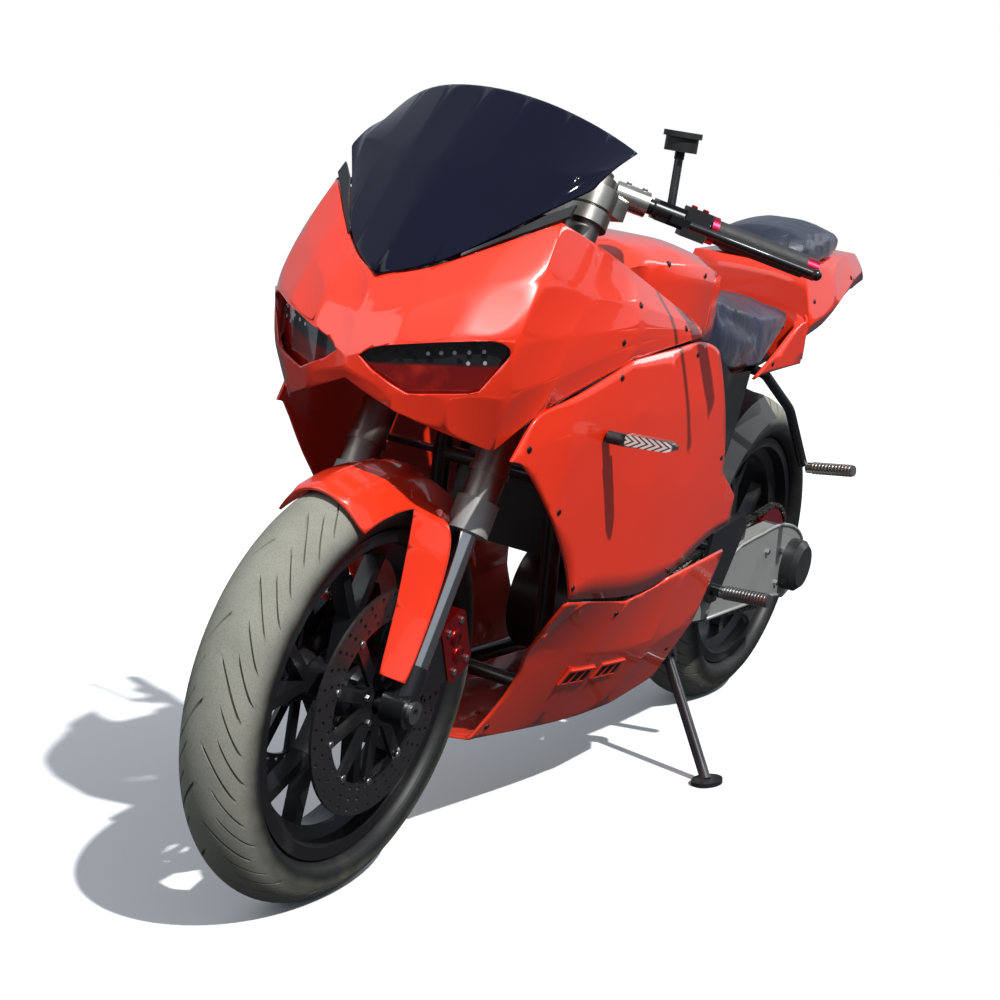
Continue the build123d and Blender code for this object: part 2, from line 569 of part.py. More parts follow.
def tail():
    # y, then half width and height at the bottom, the belt and the top
    rows = [(1206, (96, 690), (138, 770), (110, 868)), (1360, (84, 716), (132, 800), (108, 878)),
            (1520, (62, 756), (104, 846), (78, 896)), (1660, (42, 790), (74, 860), (50, 892)),
            (TAIL_END_Y - 8, (24, 812), (44, 834), (30, 856))]
    body = solid_loft([tail_section(*r) for r in rows])
    first, last = rows[0], rows[-1]
    inner = [(first[0] + SKIN, *first[1:])] + rows[1:-1] + [(last[0] - 2 * SKIN, *last[1:])]
    body -= solid_loft([tail_section(*r, inset=SKIN, drop=20) for r in inner])
    wing_out = [(984, 682), (1010, 690), (1206, 700), (1206, 778), (1160, 776), (1080, 726)]
    for s in (1, -1):
        body += prism_x(wing_out, s * 128, s * 134) + prism_x([(1190, 705), (1212, 708), (1212, 775), (1190, 775)],
                                                              s * 112, s * 134)
    save("tail_fairing", body)
    low, belt, top = (22, 815), (40, 834), (28, 853)
    save("tail_light", solid_loft([tail_section(TAIL_END_Y - 8 + SEAM_GAP, low, belt, top),
                                   tail_section(TAIL_END_Y, (18, 819), (34, 834), (24, 849))]))


def indicators():
    stalk = rod((216.9, 235, 664), (238, 240, 664), 9)
    lens = solid_loft([
        [(238.2, 232, 656), (238.2, 252, 656), (238.2, 252, 673), (238.2, 232, 673)],
        [(296, 250, 659), (296, 268, 659), (296, 268, 674), (296, 250, 674)],
        [(308, 258, 664), (308, 266, 664), (308, 266, 669), (308, 258, 669)]])
    save("front_indicators", *both(stalk + lens))


# Chassis

def main_frame():
    head = pipe(stem(LOWER_YOKE_T + LOWER_YOKE_H + 2), stem(TOP_YOKE_T - 2), HEAD_TUBE_R, STEM_R + RUN_GAP)
    frame = head
    for s in (1, -1):
        spar = bent_tube([(s * 22, 292, 820), (s * 108, 440, 765), (s * 112, 740, 620), (s * 70, 838, 430),
                          (s * 66, 842, 270)], [60, 90, 80], 16)
        cradle = bent_tube([(s * 22, 258, 742), (s * 96, 350, 600), (s * 104, 380, 330), (s * 86, 470, 208),
                            (s * 86, 720, 197), (s * 66, 842, 236)], [60, 80, 70, 90], 14)
        plate = prism_x([(806, 196), (880, 210), (880, 420), (850, 450), (806, 430)], s * 56, s * 78)
        seat_rail = bent_tube([(s * 108, 690, 645), (s * 88, 860, 674), (s * 72, 1060, 682), (s * 60, 1204, 698)],
                              [90, 120], 12)
        frame = frame + spar + cradle + plate + seat_rail
    for y, z, half in ((842, 425, 66), (354, 560, 97), (480, 207, 84)):
        frame += rod((-half, y, z), (half, y, z), 12)
    px, py, pz = STAND_PIVOT
    # Fairing stay, and the shock absorber's upper bracket
    frame += rod((0, 252, 806.6), (0, 150, 868), 11) + rod((-150, 140, 868), (150, 140, 868), 9)
    frame += rod((-98, 778, 552), (98, 778, 552), 13)
    # Panel stays: side panels, belly panels, nose and windscreen
    frame += rod((-210.5, 354, 560), (210.5, 354, 560), 6) + rod((-111.8, 480, 207), (111.8, 480, 207), 6)
    frame += rod((-NOSE_STAY_X, 140, 868), (NOSE_STAY_X, 140, 868), 6)
    for s in (1, -1):
        frame += rod((s * 100, 140, 868), (s * 102.2, 60.2, 939.2), 5)
        frame += rod((s * 101, 470, 750), (s * 101, 470, 785.9), 5)
    for s in (1, -1):
        frame += prism_x([(770, 536), (884, 540), (896, 556), (884, 572), (770, 570)], s * 13.5, s * 20)
    frame += rod((-20, 884, 556), (20, 884, 556), 8)
    pivot, axis = vec(STAND_PIVOT), vec(STAND_AXIS).normalized()
    frame += Pos(84, py, pz - 10) * Box(26, 44, 26)
    frame += rod(pivot - axis * 44, pivot - axis * 9, 15)
    frame -= rod(pivot - axis * 60, pivot, 7 + RUN_GAP)
    y, z = SWING_PIVOT
    frame -= rod((-150, y, z), (150, y, z), SWING_PIVOT_R + RUN_GAP / 5)
    save("main_frame", frame)
    battery = Location((0, 560, 560)) * Box(183.2, 330, 250)
    save("battery_pack", battery)
    motor = rod((-71.65, MOTOR_Y, MOTOR_Z), (71.65, MOTOR_Y, MOTOR_Z), MOTOR_R)
    motor += rod((71, MOTOR_Y, MOTOR_Z), (CHAIN_X - 8, MOTOR_Y, MOTOR_Z), 16)
    save("drive_motor", motor)


def swingarm():
    y0, z0 = SWING_PIVOT
    end = WHEELBASE
    arms = None
    for s in (1, -1):
        arm = prism_x([(y0 - 30, z0 + 22), (y0 - 30, z0 - 22), (930, 262), (end - 60, 250), (end, 240), (end + 58, 275),
                       (end + 62, 335), (end + 10, 372), (end - 80, 392), (end - 180, 388), (1000, 366), (900, 340)],
                      s * SWING_ARM_IN, s * SWING_ARM_OUT)
        arms = arm if arms is None else arms + arm
    arms += Location((0, 948, 297)) * Box(2 * SWING_ARM_IN + 2, 50, 62)
    arms -= rod((-200, y0, z0), (200, y0, z0), SWING_PIVOT_R + RUN_GAP)
    arms -= rod((-200, WHEELBASE, REAR_TYRE_R), (200, WHEELBASE, REAR_TYRE_R), AXLE_R + RUN_GAP / 5)
    save("swingarm", arms)
    save("swingarm_pivot", rod((-SWING_ARM_OUT - 6, y0, z0), (SWING_ARM_OUT + 6, y0, z0), SWING_PIVOT_R))
    axle = rod((-SWING_ARM_OUT - 22, WHEELBASE, REAR_TYRE_R), (SWING_ARM_OUT + 4, WHEELBASE, REAR_TYRE_R), AXLE_R)
    axle -= rod((-300, WHEELBASE, REAR_TYRE_R), (300, WHEELBASE, REAR_TYRE_R), AXLE_BORE_R)
    save("rear_axle", axle)
    cap = turned([(SWING_ARM_OUT + 0.3, AXLE_R + 1), (SWING_ARM_OUT + 0.3, 50), (SWING_ARM_OUT + 22, 50),
                  (SWING_ARM_OUT + 32, 40), (SWING_ARM_OUT + 32, 0), (SWING_ARM_OUT + 5, 0),
                  (SWING_ARM_OUT + 5, AXLE_R + 1)], REAR_AXLE)
    save("axle_cap", cap)


def belt_loop(ra, rb):
    """The loop round a circle of ra at the motor and one of rb at the rear axle, in side view."""
    a, b = (MOTOR_Y, MOTOR_Z), (WHEELBASE, REAR_TYRE_R)
    span = math.hypot(b[0] - a[0], b[1] - a[1])
    tilt = math.atan2(b[1] - a[1], b[0] - a[0])
    spread = math.acos((ra - rb) / span)

    def at(centre, radius, angle):
        return (centre[0] + radius * math.cos(angle), centre[1] + radius * math.sin(angle))
    top, low = tilt + spread, tilt - spread
    edges = [
        ThreePointArc(at(a, ra, top), at(a, ra, tilt + math.pi), at(a, ra, low)),
        Line(at(a, ra, low), at(b, rb, low)),
        ThreePointArc(at(b, rb, low), at(b, rb, tilt), at(b, rb, top)),
        Line(at(b, rb, top), at(a, ra, top))]
    return Plane.YZ * make_face(Wire(edges))


def dashboard():
    case = Pos(0, 148, 915) * Box(150, 22, 74)
    save("dashboard", case)


def chain():
    outer = belt_loop(DRIVE_SPROCKET_R + 5, REAR_SPROCKET_R + 4)
    inner = belt_loop(DRIVE_SPROCKET_R - 5, REAR_SPROCKET_R - 7.6)
    loop = extrude(outer, 2 * CHAIN_HALF, dir=(1, 0, 0)) - extrude(inner, 2 * CHAIN_HALF, dir=(1, 0, 0))
    save("drive_chain", loop.translate(Vector(CHAIN_X - CHAIN_HALF, 0, 0)))
    drum = rod((CHAIN_X - CHAIN_HALF, MOTOR_Y, MOTOR_Z), (CHAIN_X + CHAIN_HALF, MOTOR_Y, MOTOR_Z),
               DRIVE_SPROCKET_R - 5 - SEAM_GAP)
    save("drive_sprocket", drum)


def footrests():
    bracket = prism_x([(846, 372), (900, 300), (930, 300), (1010, 420), (1000, 450), (930, 440), (860, 430)],
                      152.6, 160)
    bracket += rod((78.3, 862, 404), (154, 862, 404), 10)
    bracket += rod((158, 905, 325), (176, 902, 325), 11)
    save("rider_peg_brackets", *both(bracket))
    save("rider_pegs", *both(rod((177.6, 901.8, 325.2), (268, 888, 336), 11)))
    hanger = bent_tube([(81.8, 1090, 686), (112, 1092, 682), (150, 1150, 622), (176, 1205, 520)], [18, 60], 9)
    save("passenger_peg_brackets", *both(hanger))
    save("passenger_pegs", *both(rod((186.4, 1205.5, 516.5), (278, 1186, 534), 10)))


def shock_absorber():
    top, low = Vector(0, 884, 556), Vector(0, 950, 336)
    down = (low - top).normalized()
    body = rod(top + down * 10, top + down * 60, 12) + rod(top + down * 34, top + down * 60, 24)
    body += rod(top + down * 40, low - down * 10, 16)
    body += rod(top + down * 60, low - down * 26, 30) + rod(low - down * 30, low - down * 4, 20)
    body += rod((-13, top.Y, top.Z), (13, top.Y, top.Z), 16) + rod(low - down * 10, low + down * 5.6, 8)
    body -= rod((-30, top.Y, top.Z), (30, top.Y, top.Z), 8 + RUN_GAP)
    save("shock_absorber", body)


def rear_hugger():
    inner, outer = REAR_TYRE_R + 14, REAR_TYRE_R + 18
    profile = [(-81, outer - 46), (-50, outer - 10), (0, outer), (50, outer - 10), (81, outer - 46),
               (77, inner - 44), (48, inner - 9), (0, inner), (-48, inner - 9), (-77, inner - 44)]
    face = make_face(Polyline([Vector(x, 0, r) for x, r in profile], close=True))
    guard = revolve(face.rotate(Axis.X, 8), Axis.X, 66).translate(REAR_AXLE)
    for s in (1, -1):
        y0, y1 = WHEELBASE - 268, WHEELBASE - 230
        guard += prism_x([(y0, 392), (y1, 392), (y1 + 18, 440), (y0 + 16, 432)], s * 77, s * 84)
        guard += prism_x([(y0, 392), (y1, 392), (y1, 400), (y0, 400)], s * 77, s * 130)
        guard += prism_x([(y0, 375.5), (y1, 381), (y1, 400), (y0, 400)], s * 114, s * 130)
    save("rear_hugger", guard)


def rear_caliper():
    body = Pos(-(SWING_ARM_IN + 70) / 2, WHEELBASE - 86, REAR_TYRE_R + 47) * Box(SWING_ARM_IN - 70 - SEAM_GAP, 56, 66)
    slot = turned([(-REAR_DISC_X - DISC_HALF_T - 3, 40), (-REAR_DISC_X + DISC_HALF_T + 3, 40),
                   (-REAR_DISC_X + DISC_HALF_T + 3, REAR_DISC_R + 4),
                   (-REAR_DISC_X - DISC_HALF_T - 3, REAR_DISC_R + 4)], REAR_AXLE, -1)
    save("rear_caliper", body - slot)


def side_stand():
    px, py, pz = STAND_PIVOT
    gx, gy = STAND_FOOT_GROUND
    foot = Vector(gx * math.cos(LEAN), gy, gx * math.sin(LEAN))
    pivot = Vector(px, py, pz)
    axis = Vector(*STAND_AXIS).normalized()
    pin = rod(pivot - axis * 36, pivot + axis * 20, 7)
    hub = rod(pivot - axis * 8, pivot + axis * 14, 19)
    stand = pin + hub + rod(pivot + axis * 3, foot + (pivot - foot).normalized() * 6, 9)
    # The foot plate lies flat on the ground while the machine leans
    up = Vector(-math.sin(LEAN), 0, math.cos(LEAN))
    plate_plane = Plane(origin=foot, x_dir=(0, 1, 0), z_dir=up)
    stand += extrude(plate_plane * Ellipse(34, 24), 7)
    save("side_stand", stand)
    return pivot, axis


def main():
    front_wheel()
    rear_wheel()
    fork()
    yokes()
    handlebars()
    controls()
    front_brakes()
    front_mudguard()
    nose()
    windscreen()
    side_fairings()
    tank_cover()
    seats()
    tail()
    indicators()
    main_frame()
    swingarm()
    chain()
    footrests()
    shock_absorber()
    rear_hugger()
    rear_caliper()
    dashboard()
    side_stand()


main()
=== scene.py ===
"""Looks of the electric sport motorcycle: finishes, tread, seats, lamps, chain, discs and fittings."""
import json
import math

import bmesh
import bpy
from mathutils import Matrix, Vector, noise

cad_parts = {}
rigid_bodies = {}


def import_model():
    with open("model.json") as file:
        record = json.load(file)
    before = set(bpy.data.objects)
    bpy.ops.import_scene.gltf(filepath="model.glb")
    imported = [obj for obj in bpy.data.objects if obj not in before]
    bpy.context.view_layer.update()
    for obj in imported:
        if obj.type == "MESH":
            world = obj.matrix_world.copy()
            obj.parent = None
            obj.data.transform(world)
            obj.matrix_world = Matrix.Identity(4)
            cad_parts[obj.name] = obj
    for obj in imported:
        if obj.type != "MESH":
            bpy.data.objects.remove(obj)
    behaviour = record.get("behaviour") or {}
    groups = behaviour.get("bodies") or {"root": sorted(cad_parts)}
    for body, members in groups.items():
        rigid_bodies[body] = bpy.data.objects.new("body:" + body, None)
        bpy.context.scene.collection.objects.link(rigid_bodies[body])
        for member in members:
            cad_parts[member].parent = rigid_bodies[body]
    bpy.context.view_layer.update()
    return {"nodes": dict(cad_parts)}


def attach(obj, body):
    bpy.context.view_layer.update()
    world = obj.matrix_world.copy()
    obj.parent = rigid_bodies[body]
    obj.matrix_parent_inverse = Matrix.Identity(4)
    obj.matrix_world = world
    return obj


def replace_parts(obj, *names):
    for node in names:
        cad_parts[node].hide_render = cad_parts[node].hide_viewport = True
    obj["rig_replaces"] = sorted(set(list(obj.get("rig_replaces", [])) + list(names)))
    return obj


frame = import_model()

bl_info = {
    "name": "Electric sport motorcycle",
    "version": (1, 0, 0),
    "blender": (4, 5, 0),
    "location": "View3D > Sidebar > Motorcycle",
    "description": "Dresses the motorcycle's frame with its finishes, tread, seats, lamps and fittings",
    "category": "Object",
}

# The parked machine's stance, in metres and degrees; the upright frame has x to the rider's left,
# y rearward from the front axle and z up from the ground
LEAN = math.radians(10.84)
RAKE = math.radians(25.0)
BARS_TIP_HEIGHT = 0.914
TAIL_END = 1.775
FRONT_RADIUS = 0.293
REAR_RADIUS = 0.305
WHEELBASE = 1.330
SHIFT = Vector((BARS_TIP_HEIGHT * math.sin(LEAN), (TAIL_END - FRONT_RADIUS) / 2, 0))
TO_ROW = Matrix.Translation(-SHIFT) @ Matrix.Rotation(LEAN, 4, "Y")
FORK_UP = Vector((0, math.sin(RAKE), math.cos(RAKE)))
FORK_FORWARD = Vector((0, -math.cos(RAKE), math.sin(RAKE)))
FRONT_AXLE = Vector((0, 0, FRONT_RADIUS))
REAR_AXLE = Vector((0, WHEELBASE, REAR_RADIUS))
WHEEL_AXIS = TO_ROW.to_3x3() @ Vector((1, 0, 0))

# Wheels and chain, in millimetres
RIM_SEAT = 216
MOTOR = (690, 292)
CHAIN_X = 92
CHAIN_PITCH = 15.875
DRIVE_PITCH_R = 34
REAR_PITCH_R = 102.2
LINK_HALF_WIDTH = 5.0
LINK_ROLLER_R = 3.6
TEETH = 40
TOOTH_FOOT_R = 95

# Brake discs and calipers, in millimetres and degrees
DISC_X = 66
DISC_HALF = 2.2
DISC_HOLES = 36
DISC_HOLE_R = 3.3
DISC_BANDS = [(112, 126), (126, 140), (140, 155)]
CALIPER_R = 138
CALIPER_TURN = math.radians(27)
CALIPER_FACE_X = 101

# Softened panels
CREASE_ANGLE = math.radians(42)
FLAT_ANGLE = math.radians(0.4)
JOIN_ANGLE = math.radians(30)
FLOW_LEVELS = 2

# Seat covers, in metres
SEAT_INSET = 0.006
SEAT_VOXEL = 0.006
SEAT_PRESSURE = 4.0
SEAT_STEPS = 20
SEAT_BASE_SHARE = 0.35


def row(x, y, z):
    """A point of the upright machine, given in millimetres, where it lies as the machine leans."""
    return TO_ROW @ Vector((x / 1000, y / 1000, z / 1000))


# Shader maths

class Value:
    """A socket's value that Python's operators work on; each operator adds a Math node."""

    def __init__(self, finish, socket):
        self.finish = finish
        self.socket = socket

    def math(self, operation, *others):
        inputs = dict(enumerate((self,) + others))
        return self.finish.add("ShaderNodeMath", {"operation": operation}, inputs).out(0)

    def __add__(self, other):
        return self.math("ADD", other)

    __radd__ = __add__

    def __mul__(self, other):
        return self.math("MULTIPLY", other)

    __rmul__ = __mul__

    def __sub__(self, other):
        return self.math("SUBTRACT", other)

    def __rsub__(self, other):
        node = self.finish.add("ShaderNodeMath", {"operation": "SUBTRACT"}, {0: other, 1: self})
        return node.out(0)

    def __lt__(self, other):
        return self.math("LESS_THAN", other)

    def clamp(self):
        node = self.finish.add("ShaderNodeClamp", {}, {0: self})
        return node.out(0)

    def smooth(self, low, high):
        """0 below low, 1 above high, and a smooth rise between them."""
        node = self.finish.add("ShaderNodeMapRange", {"interpolation_type": "SMOOTHSTEP"},
                               {"Value": self, "From Min": low, "From Max": high})
        return node.out(0)


class Node:
    """A shader node whose outputs come out as values."""

    def __init__(self, finish, node):
        self.finish = finish
        self.node = node

    def out(self, name=0):
        return Value(self.finish, self.node.outputs[name])


class Finish:
    """A material being built, with one method that adds any node."""

    def __init__(self, name, **surface):
        self.material = bpy.data.materials.new(name)
        self.material.use_nodes = True
        self.tree = self.material.node_tree
        self.tree.nodes.clear()
        self.output = self.add("ShaderNodeOutputMaterial")
        self.surface = self.add("ShaderNodeBsdfPrincipled")
        self.feed(self.output.node.inputs[0], self.surface.out(0))
        self.place = self.add("ShaderNodeTexCoord").out("Object")
        for name_of_socket, value in surface.items():
            self.set(name_of_socket.replace("_", " "), value)

    def add(self, kind, settings=None, inputs=None):
        node = self.tree.nodes.new(kind)
        for name, value in (settings or {}).items():
            setattr(node, name, value)
        for name, value in (inputs or {}).items():
            self.feed(node.inputs[name], value)
        return Node(self, node)

    def feed(self, socket, value):
        if isinstance(value, Value):
            self.tree.links.new(value.socket, socket)
        elif isinstance(value, (tuple, list)) and socket.type == "RGBA":
            socket.default_value = tuple(value) + (1.0,) * (4 - len(value))
        else:
            socket.default_value = value

    def set(self, name, value):
        """Sets or links one of the surface's own sockets."""
        self.feed(self.surface.node.inputs[name], value)

    def noise(self, scale, detail=4.0, roughness=0.55):
        inputs = {"Vector": self.place, "Scale": scale, "Detail": detail, "Roughness": roughness}
        return self.add("ShaderNodeTexNoise", {}, inputs).out("Fac")

    def cells(self, scale):
        inputs = {"Vector": self.place, "Scale": scale}
        return self.add("ShaderNodeTexVoronoi", {"feature": "F1"}, inputs).out("Distance")

    def mix(self, factor, a, b):
        """Colour a where factor is 0 and b where it is 1."""
        node = self.add("ShaderNodeMix", {"data_type": "RGBA"}, {"Factor": factor, 6: a, 7: b})
        return node.out(2)

    def bump(self, height, strength=0.3, depth=0.001):
        node = self.add("ShaderNodeBump", {}, {"Strength": strength, "Distance": depth, "Height": height})
        self.set("Normal", node.out(0))

    def vector(self, operation, a, b=None, out=0):
        inputs = {0: a} if b is None else {0: a, 1: b}
        return self.add("ShaderNodeVectorMath", {"operation": operation}, inputs).out(out)

    def upright(self, axis):
        """An upright coordinate of the surface, in millimetres."""
        way = TO_ROW.to_3x3() @ Vector([float(axis == k) for k in "xyz"])
        offset = way.dot(TO_ROW.translation)
        return (self.vector("DOT_PRODUCT", self.place, tuple(way), "Value") - offset) * 1000

    def wheel_radius(self, centre, axis):
        """The distance from the wheel's axis, and the distance along it from the wheel's middle plane."""
        out_from = self.vector("SUBTRACT", self.place, tuple(centre))
        along = self.vector("DOT_PRODUCT", out_from, tuple(axis), "Value")
        reach = self.vector("LENGTH", out_from, out="Value")
        return (reach * reach - along * along).math("SQRT"), along


# Finishes

METAL_BUMP = 0.0003


def red_paint(look):
    """Gloss red paint with faint orange peel and a little road dust low down."""
    f = Finish("red_gloss_paint", Coat_Weight=1.0, Coat_Roughness=0.03, Specular_IOR_Level=0.5)
    height = f.add("ShaderNodeSeparateXYZ", {}, {0: f.place}).out("Z")
    dust = f.noise(9, 6) * (1 - height.smooth(0.05, 0.45))
    shade = f.noise(2.2, 2)
    base = f.mix(shade, tuple(look.paint), tuple(c * 0.86 for c in look.paint))
    f.set("Base Color", f.mix((dust * 0.35).clamp(), base, (0.32, 0.13, 0.08)))
    f.set("Roughness", 0.3 + dust * 0.3)
    f.set("Coat Weight", (1 - dust * 0.8).clamp())
    f.bump(f.noise(260, 2) * 0.6 + f.noise(30, 2) * 0.4, 0.05, 0.0006)
    return f.material


def satin_black(name, colour=(0.016, 0.016, 0.018), roughness=0.42, grain=420, metallic=0.0, coat=0.0):
    """Black paint or plastic with a fine grain and dust that gathers in patches."""
    f = Finish(name, Metallic=metallic, Coat_Weight=coat, Coat_Roughness=0.12)
    dust = f.noise(14, 6).smooth(0.5, 0.78)
    worn = f.noise(70, 5).smooth(0.62, 0.8)
    f.set("Base Color", f.mix(dust * 0.3, tuple(colour), (0.085, 0.078, 0.066)))
    f.set("Roughness", roughness + dust * 0.22 - worn * 0.08)
    f.bump(f.noise(grain, 3), 0.12, 0.0004)
    return f.material


def grey_casting():
    """Sand-cast alloy, light grey, with a pebbled skin and darker hollows."""
    f = Finish("grey_casting", Metallic=0.55)
    grain = f.noise(340, 4)
    stain = f.noise(11, 6).smooth(0.42, 0.72)
    f.set("Base Color", f.mix(stain * 0.55, (0.40, 0.40, 0.385), (0.24, 0.235, 0.22)))
    f.set("Roughness", 0.42 + grain * 0.18 + stain * 0.1)
    f.bump(grain * 0.7 + f.cells(160) * 0.3, 0.3, 0.0007)
    return f.material


def marked_metal(name, colours, marks, rough, grain, **surface):
    """Metal whose colour and roughness wander with its marks: rough gives the least and the range."""
    f = Finish(name, **surface)
    pattern = f.noise(*marks)
    f.set("Base Color", f.mix(pattern, *colours))
    f.set("Roughness", rough[0] + pattern * rough[1])
    f.bump(f.noise(*grain[:2]), grain[2], METAL_BUMP)
    return f.material


def worn(colour):
    """A colour, and the darker one that its marks have."""
    return tuple(colour), tuple(c * 0.7 for c in colour)


def bright_alloy():
    """Machined and polished alloy, as on the yoke and the bar clamps."""
    colours = (0.66, 0.63, 0.58), (0.50, 0.47, 0.43)
    return marked_metal("bright_alloy", colours, (38, 7), (0.2, 0.16), (600, 2, 0.06), Metallic=0.95)


def plain_steel(name, colour=(0.42, 0.42, 0.42), rough=0.3):
    """Plated or oiled steel with uneven marks."""
    return marked_metal(name, worn(colour), (90, 5), (rough, 0.18), (500, 3, 0.08), Metallic=1.0)


def anodised(name, colour):
    """Coloured, slightly metallic anodising or enamel under a thin clear coat."""
    return marked_metal(name, worn(colour), (55, 5), (0.24, 0.14), (700, 2, 0.08), Metallic=0.9,
                        Coat_Weight=0.3, Coat_Roughness=0.1)


def turned_steel(name, centre, axis, colour=(0.34, 0.34, 0.35)):
    """Steel ground in rings about a wheel's axis, with heat tint and fine grooves."""
    f = Finish(name, Metallic=1.0)
    radius, _ = f.wheel_radius(centre, axis)
    rings = (radius * 5200).math("SINE") * 0.5 + 0.5
    tint = (radius * 70 + f.noise(6, 3) * 2).math("SINE") * 0.5 + 0.5
    f.set("Base Color", f.mix(tint * 0.4, tuple(colour), (0.20, 0.19, 0.20)))
    f.set("Roughness", 0.24 + rings * 0.14 + f.noise(40, 4) * 0.1)
    f.bump(rings, 0.08, 0.0002)
    return f.material


def hard_chrome():
    """The polished inner fork tubes, with faint streaks along them."""
    f = Finish("hard_chrome", Metallic=1.0)
    streak = f.noise(46, 6)
    f.set("Base Color", f.mix(streak * 0.5, (0.78, 0.78, 0.78), (0.55, 0.55, 0.56)))
    f.set("Roughness", 0.07 + streak * 0.09)
    return f.material


def tyre_rubber(name, centre, radius):
    """Dusty rubber: grey-brown where it meets the road, darker and smoother down the sidewall."""
    f = Finish(name, Specular_IOR_Level=0.35)
    reach, _ = f.wheel_radius(centre, WHEEL_AXIS)
    worn = (reach + f.noise(26, 5) * 0.012 - 0.006).smooth(radius - 0.052, radius - 0.020)
    grit = f.noise(520, 6, 0.7)
    patch = f.noise(17, 6)
    side = f.mix(patch.smooth(0.45, 0.75) * 0.5, (0.012, 0.012, 0.012), (0.045, 0.042, 0.036))
    tread = f.mix(patch, (0.20, 0.20, 0.165), (0.34, 0.335, 0.28))
    tread = f.mix((grit.smooth(0.4, 0.75)) * 0.5, tread, (0.10, 0.098, 0.082))
    f.set("Base Color", f.mix(worn, side, tread))
    f.set("Roughness", 0.5 + worn * 0.38)
    rings = (reach * 1900).math("SINE") * (1 - worn) * 0.15
    f.bump(grit * (0.3 + worn * 0.7) + rings, 0.35, 0.0008)
    return f.material


def grip_rubber():
    """Black rubber with closely spaced ribs round the bar."""
    f = Finish("grip_rubber")
    f.set("Base Color", f.mix(f.noise(60, 4), (0.012, 0.012, 0.013), (0.03, 0.03, 0.03)))
    f.set("Roughness", 0.5 + f.noise(200, 3) * 0.2)
    f.bump(f.cells(520), 0.35, 0.0006)
    return f.material


def tinted_screen():
    """Dark blue-black tinted acrylic, very glossy, with faint swirls."""
    f = Finish("tinted_screen", Coat_Weight=0.2, Coat_Roughness=0.02, Specular_IOR_Level=0.25)
    haze = f.noise(3.0, 5)
    f.set("Base Color", f.mix(haze, (0.0020, 0.0026, 0.010), (0.005, 0.006, 0.022)))
    f.set("Roughness", 0.05 + f.noise(45, 6).smooth(0.55, 0.8) * 0.12)
    return f.material


def lamp_glass():
    """Dark lamp glass: black above a slanting line, the red bowl showing through below it."""
    f = Finish("lamp_glass", Coat_Weight=1.0, Coat_Roughness=0.02)
    height, side = f.upright("z"), f.upright("x").math("ABSOLUTE")
    line = 738 + side * 0.14
    low = (line - height).smooth(-1.0, 1.5)
    rim = ((line - height).math("ABSOLUTE") < 2.2) * 0.6
    glow = f.noise(18, 5).smooth(0.45, 0.7)
    bowl = f.mix(glow, (0.16, 0.004, 0.003), (0.42, 0.02, 0.012))
    lens = f.mix(f.cells(90).smooth(0.3, 0.5) * 0.5, (0.004, 0.004, 0.005), (0.03, 0.03, 0.033))
    f.set("Base Color", f.mix(rim.clamp(), f.mix(low, lens, bowl), (0.02, 0.01, 0.01)))
    f.set("Roughness", 0.08 + f.noise(40, 4) * 0.06)
    return f.material


def indicator_lens():
    """The indicator: its rubber stalk near the panel, and past it a clear lens with chevrons."""
    f = Finish("indicator_lens", Coat_Weight=0.6, Coat_Roughness=0.04)
    side, height = f.upright("x").math("ABSOLUTE"), f.upright("z")
    stalk = side < 243
    bow = (height - 665.5).math("ABSOLUTE")
    stripes = ((side * 0.9 + bow * 1.4) * 0.75).math("SINE").smooth(0.1, 0.5)
    inside = (8.4 - bow).smooth(0.0, 1.6) * (304 - side).smooth(0, 3)
    glass = f.mix(stripes, (0.72, 0.62, 0.60), (0.10, 0.05, 0.05))
    lit = f.mix(inside, (0.05, 0.045, 0.045), glass)
    f.set("Base Color", f.mix(stalk, lit, (0.012, 0.012, 0.013)))
    f.set("Roughness", 0.1 + stalk * 0.45)
    f.bump(stripes, 0.25, 0.0006)
    return f.material


def red_lens():
    """The tail light's red plastic, moulded in small cells."""
    f = Finish("red_lens", Coat_Weight=1.0, Coat_Roughness=0.03)
    cells = f.cells(260)
    f.set("Base Color", f.mix(cells.smooth(0.2, 0.7), (0.42, 0.012, 0.008), (0.14, 0.004, 0.003)))
    f.set("Roughness", 0.12 + cells * 0.1)
    f.bump(cells, 0.3, 0.0008)
    return f.material


def seat_vinyl(look):
    """Blue-black vinyl with a pebble grain, soft creases and a dull sheen."""
    f = Finish("seat_vinyl", Sheen_Weight=0.15, Specular_IOR_Level=0.55)
    creases = f.noise(12, 7, 0.6)
    fold = (creases - 0.5).math("ABSOLUTE").smooth(0.0, 0.05)
    worn = f.noise(5, 4).smooth(0.45, 0.7)
    f.set("Base Color", f.mix(worn, tuple(look.vinyl), tuple(c * 2.0 for c in look.vinyl)))
    f.set("Roughness", 0.3 + f.noise(30, 4) * 0.22 + worn * 0.08)
    f.bump(f.cells(900) * 0.35 + fold * 0.65, 0.45, 0.0011)
    return f.material


def dress(nodes, material):
    """Gives carried-over pieces their finish."""
    for name in nodes:
        mesh = frame["nodes"][name].data
        mesh.materials.clear()
        mesh.materials.append(material)


# Mesh helpers

def finish_piece(name, mesh, body, materials, smooth=True, replaces=()):
    """Puts a mesh in the scene as a piece that rides on a body."""
    piece = bpy.data.objects.new(name, mesh)
    bpy.context.scene.collection.objects.link(piece)
    for material in materials:
        if material.name not in [m.name for m in mesh.materials if m]:
            mesh.materials.append(material)
    if smooth:
        mesh.shade_smooth()
    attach(piece, body)
    if replaces:
        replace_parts(piece, *replaces)
    return piece


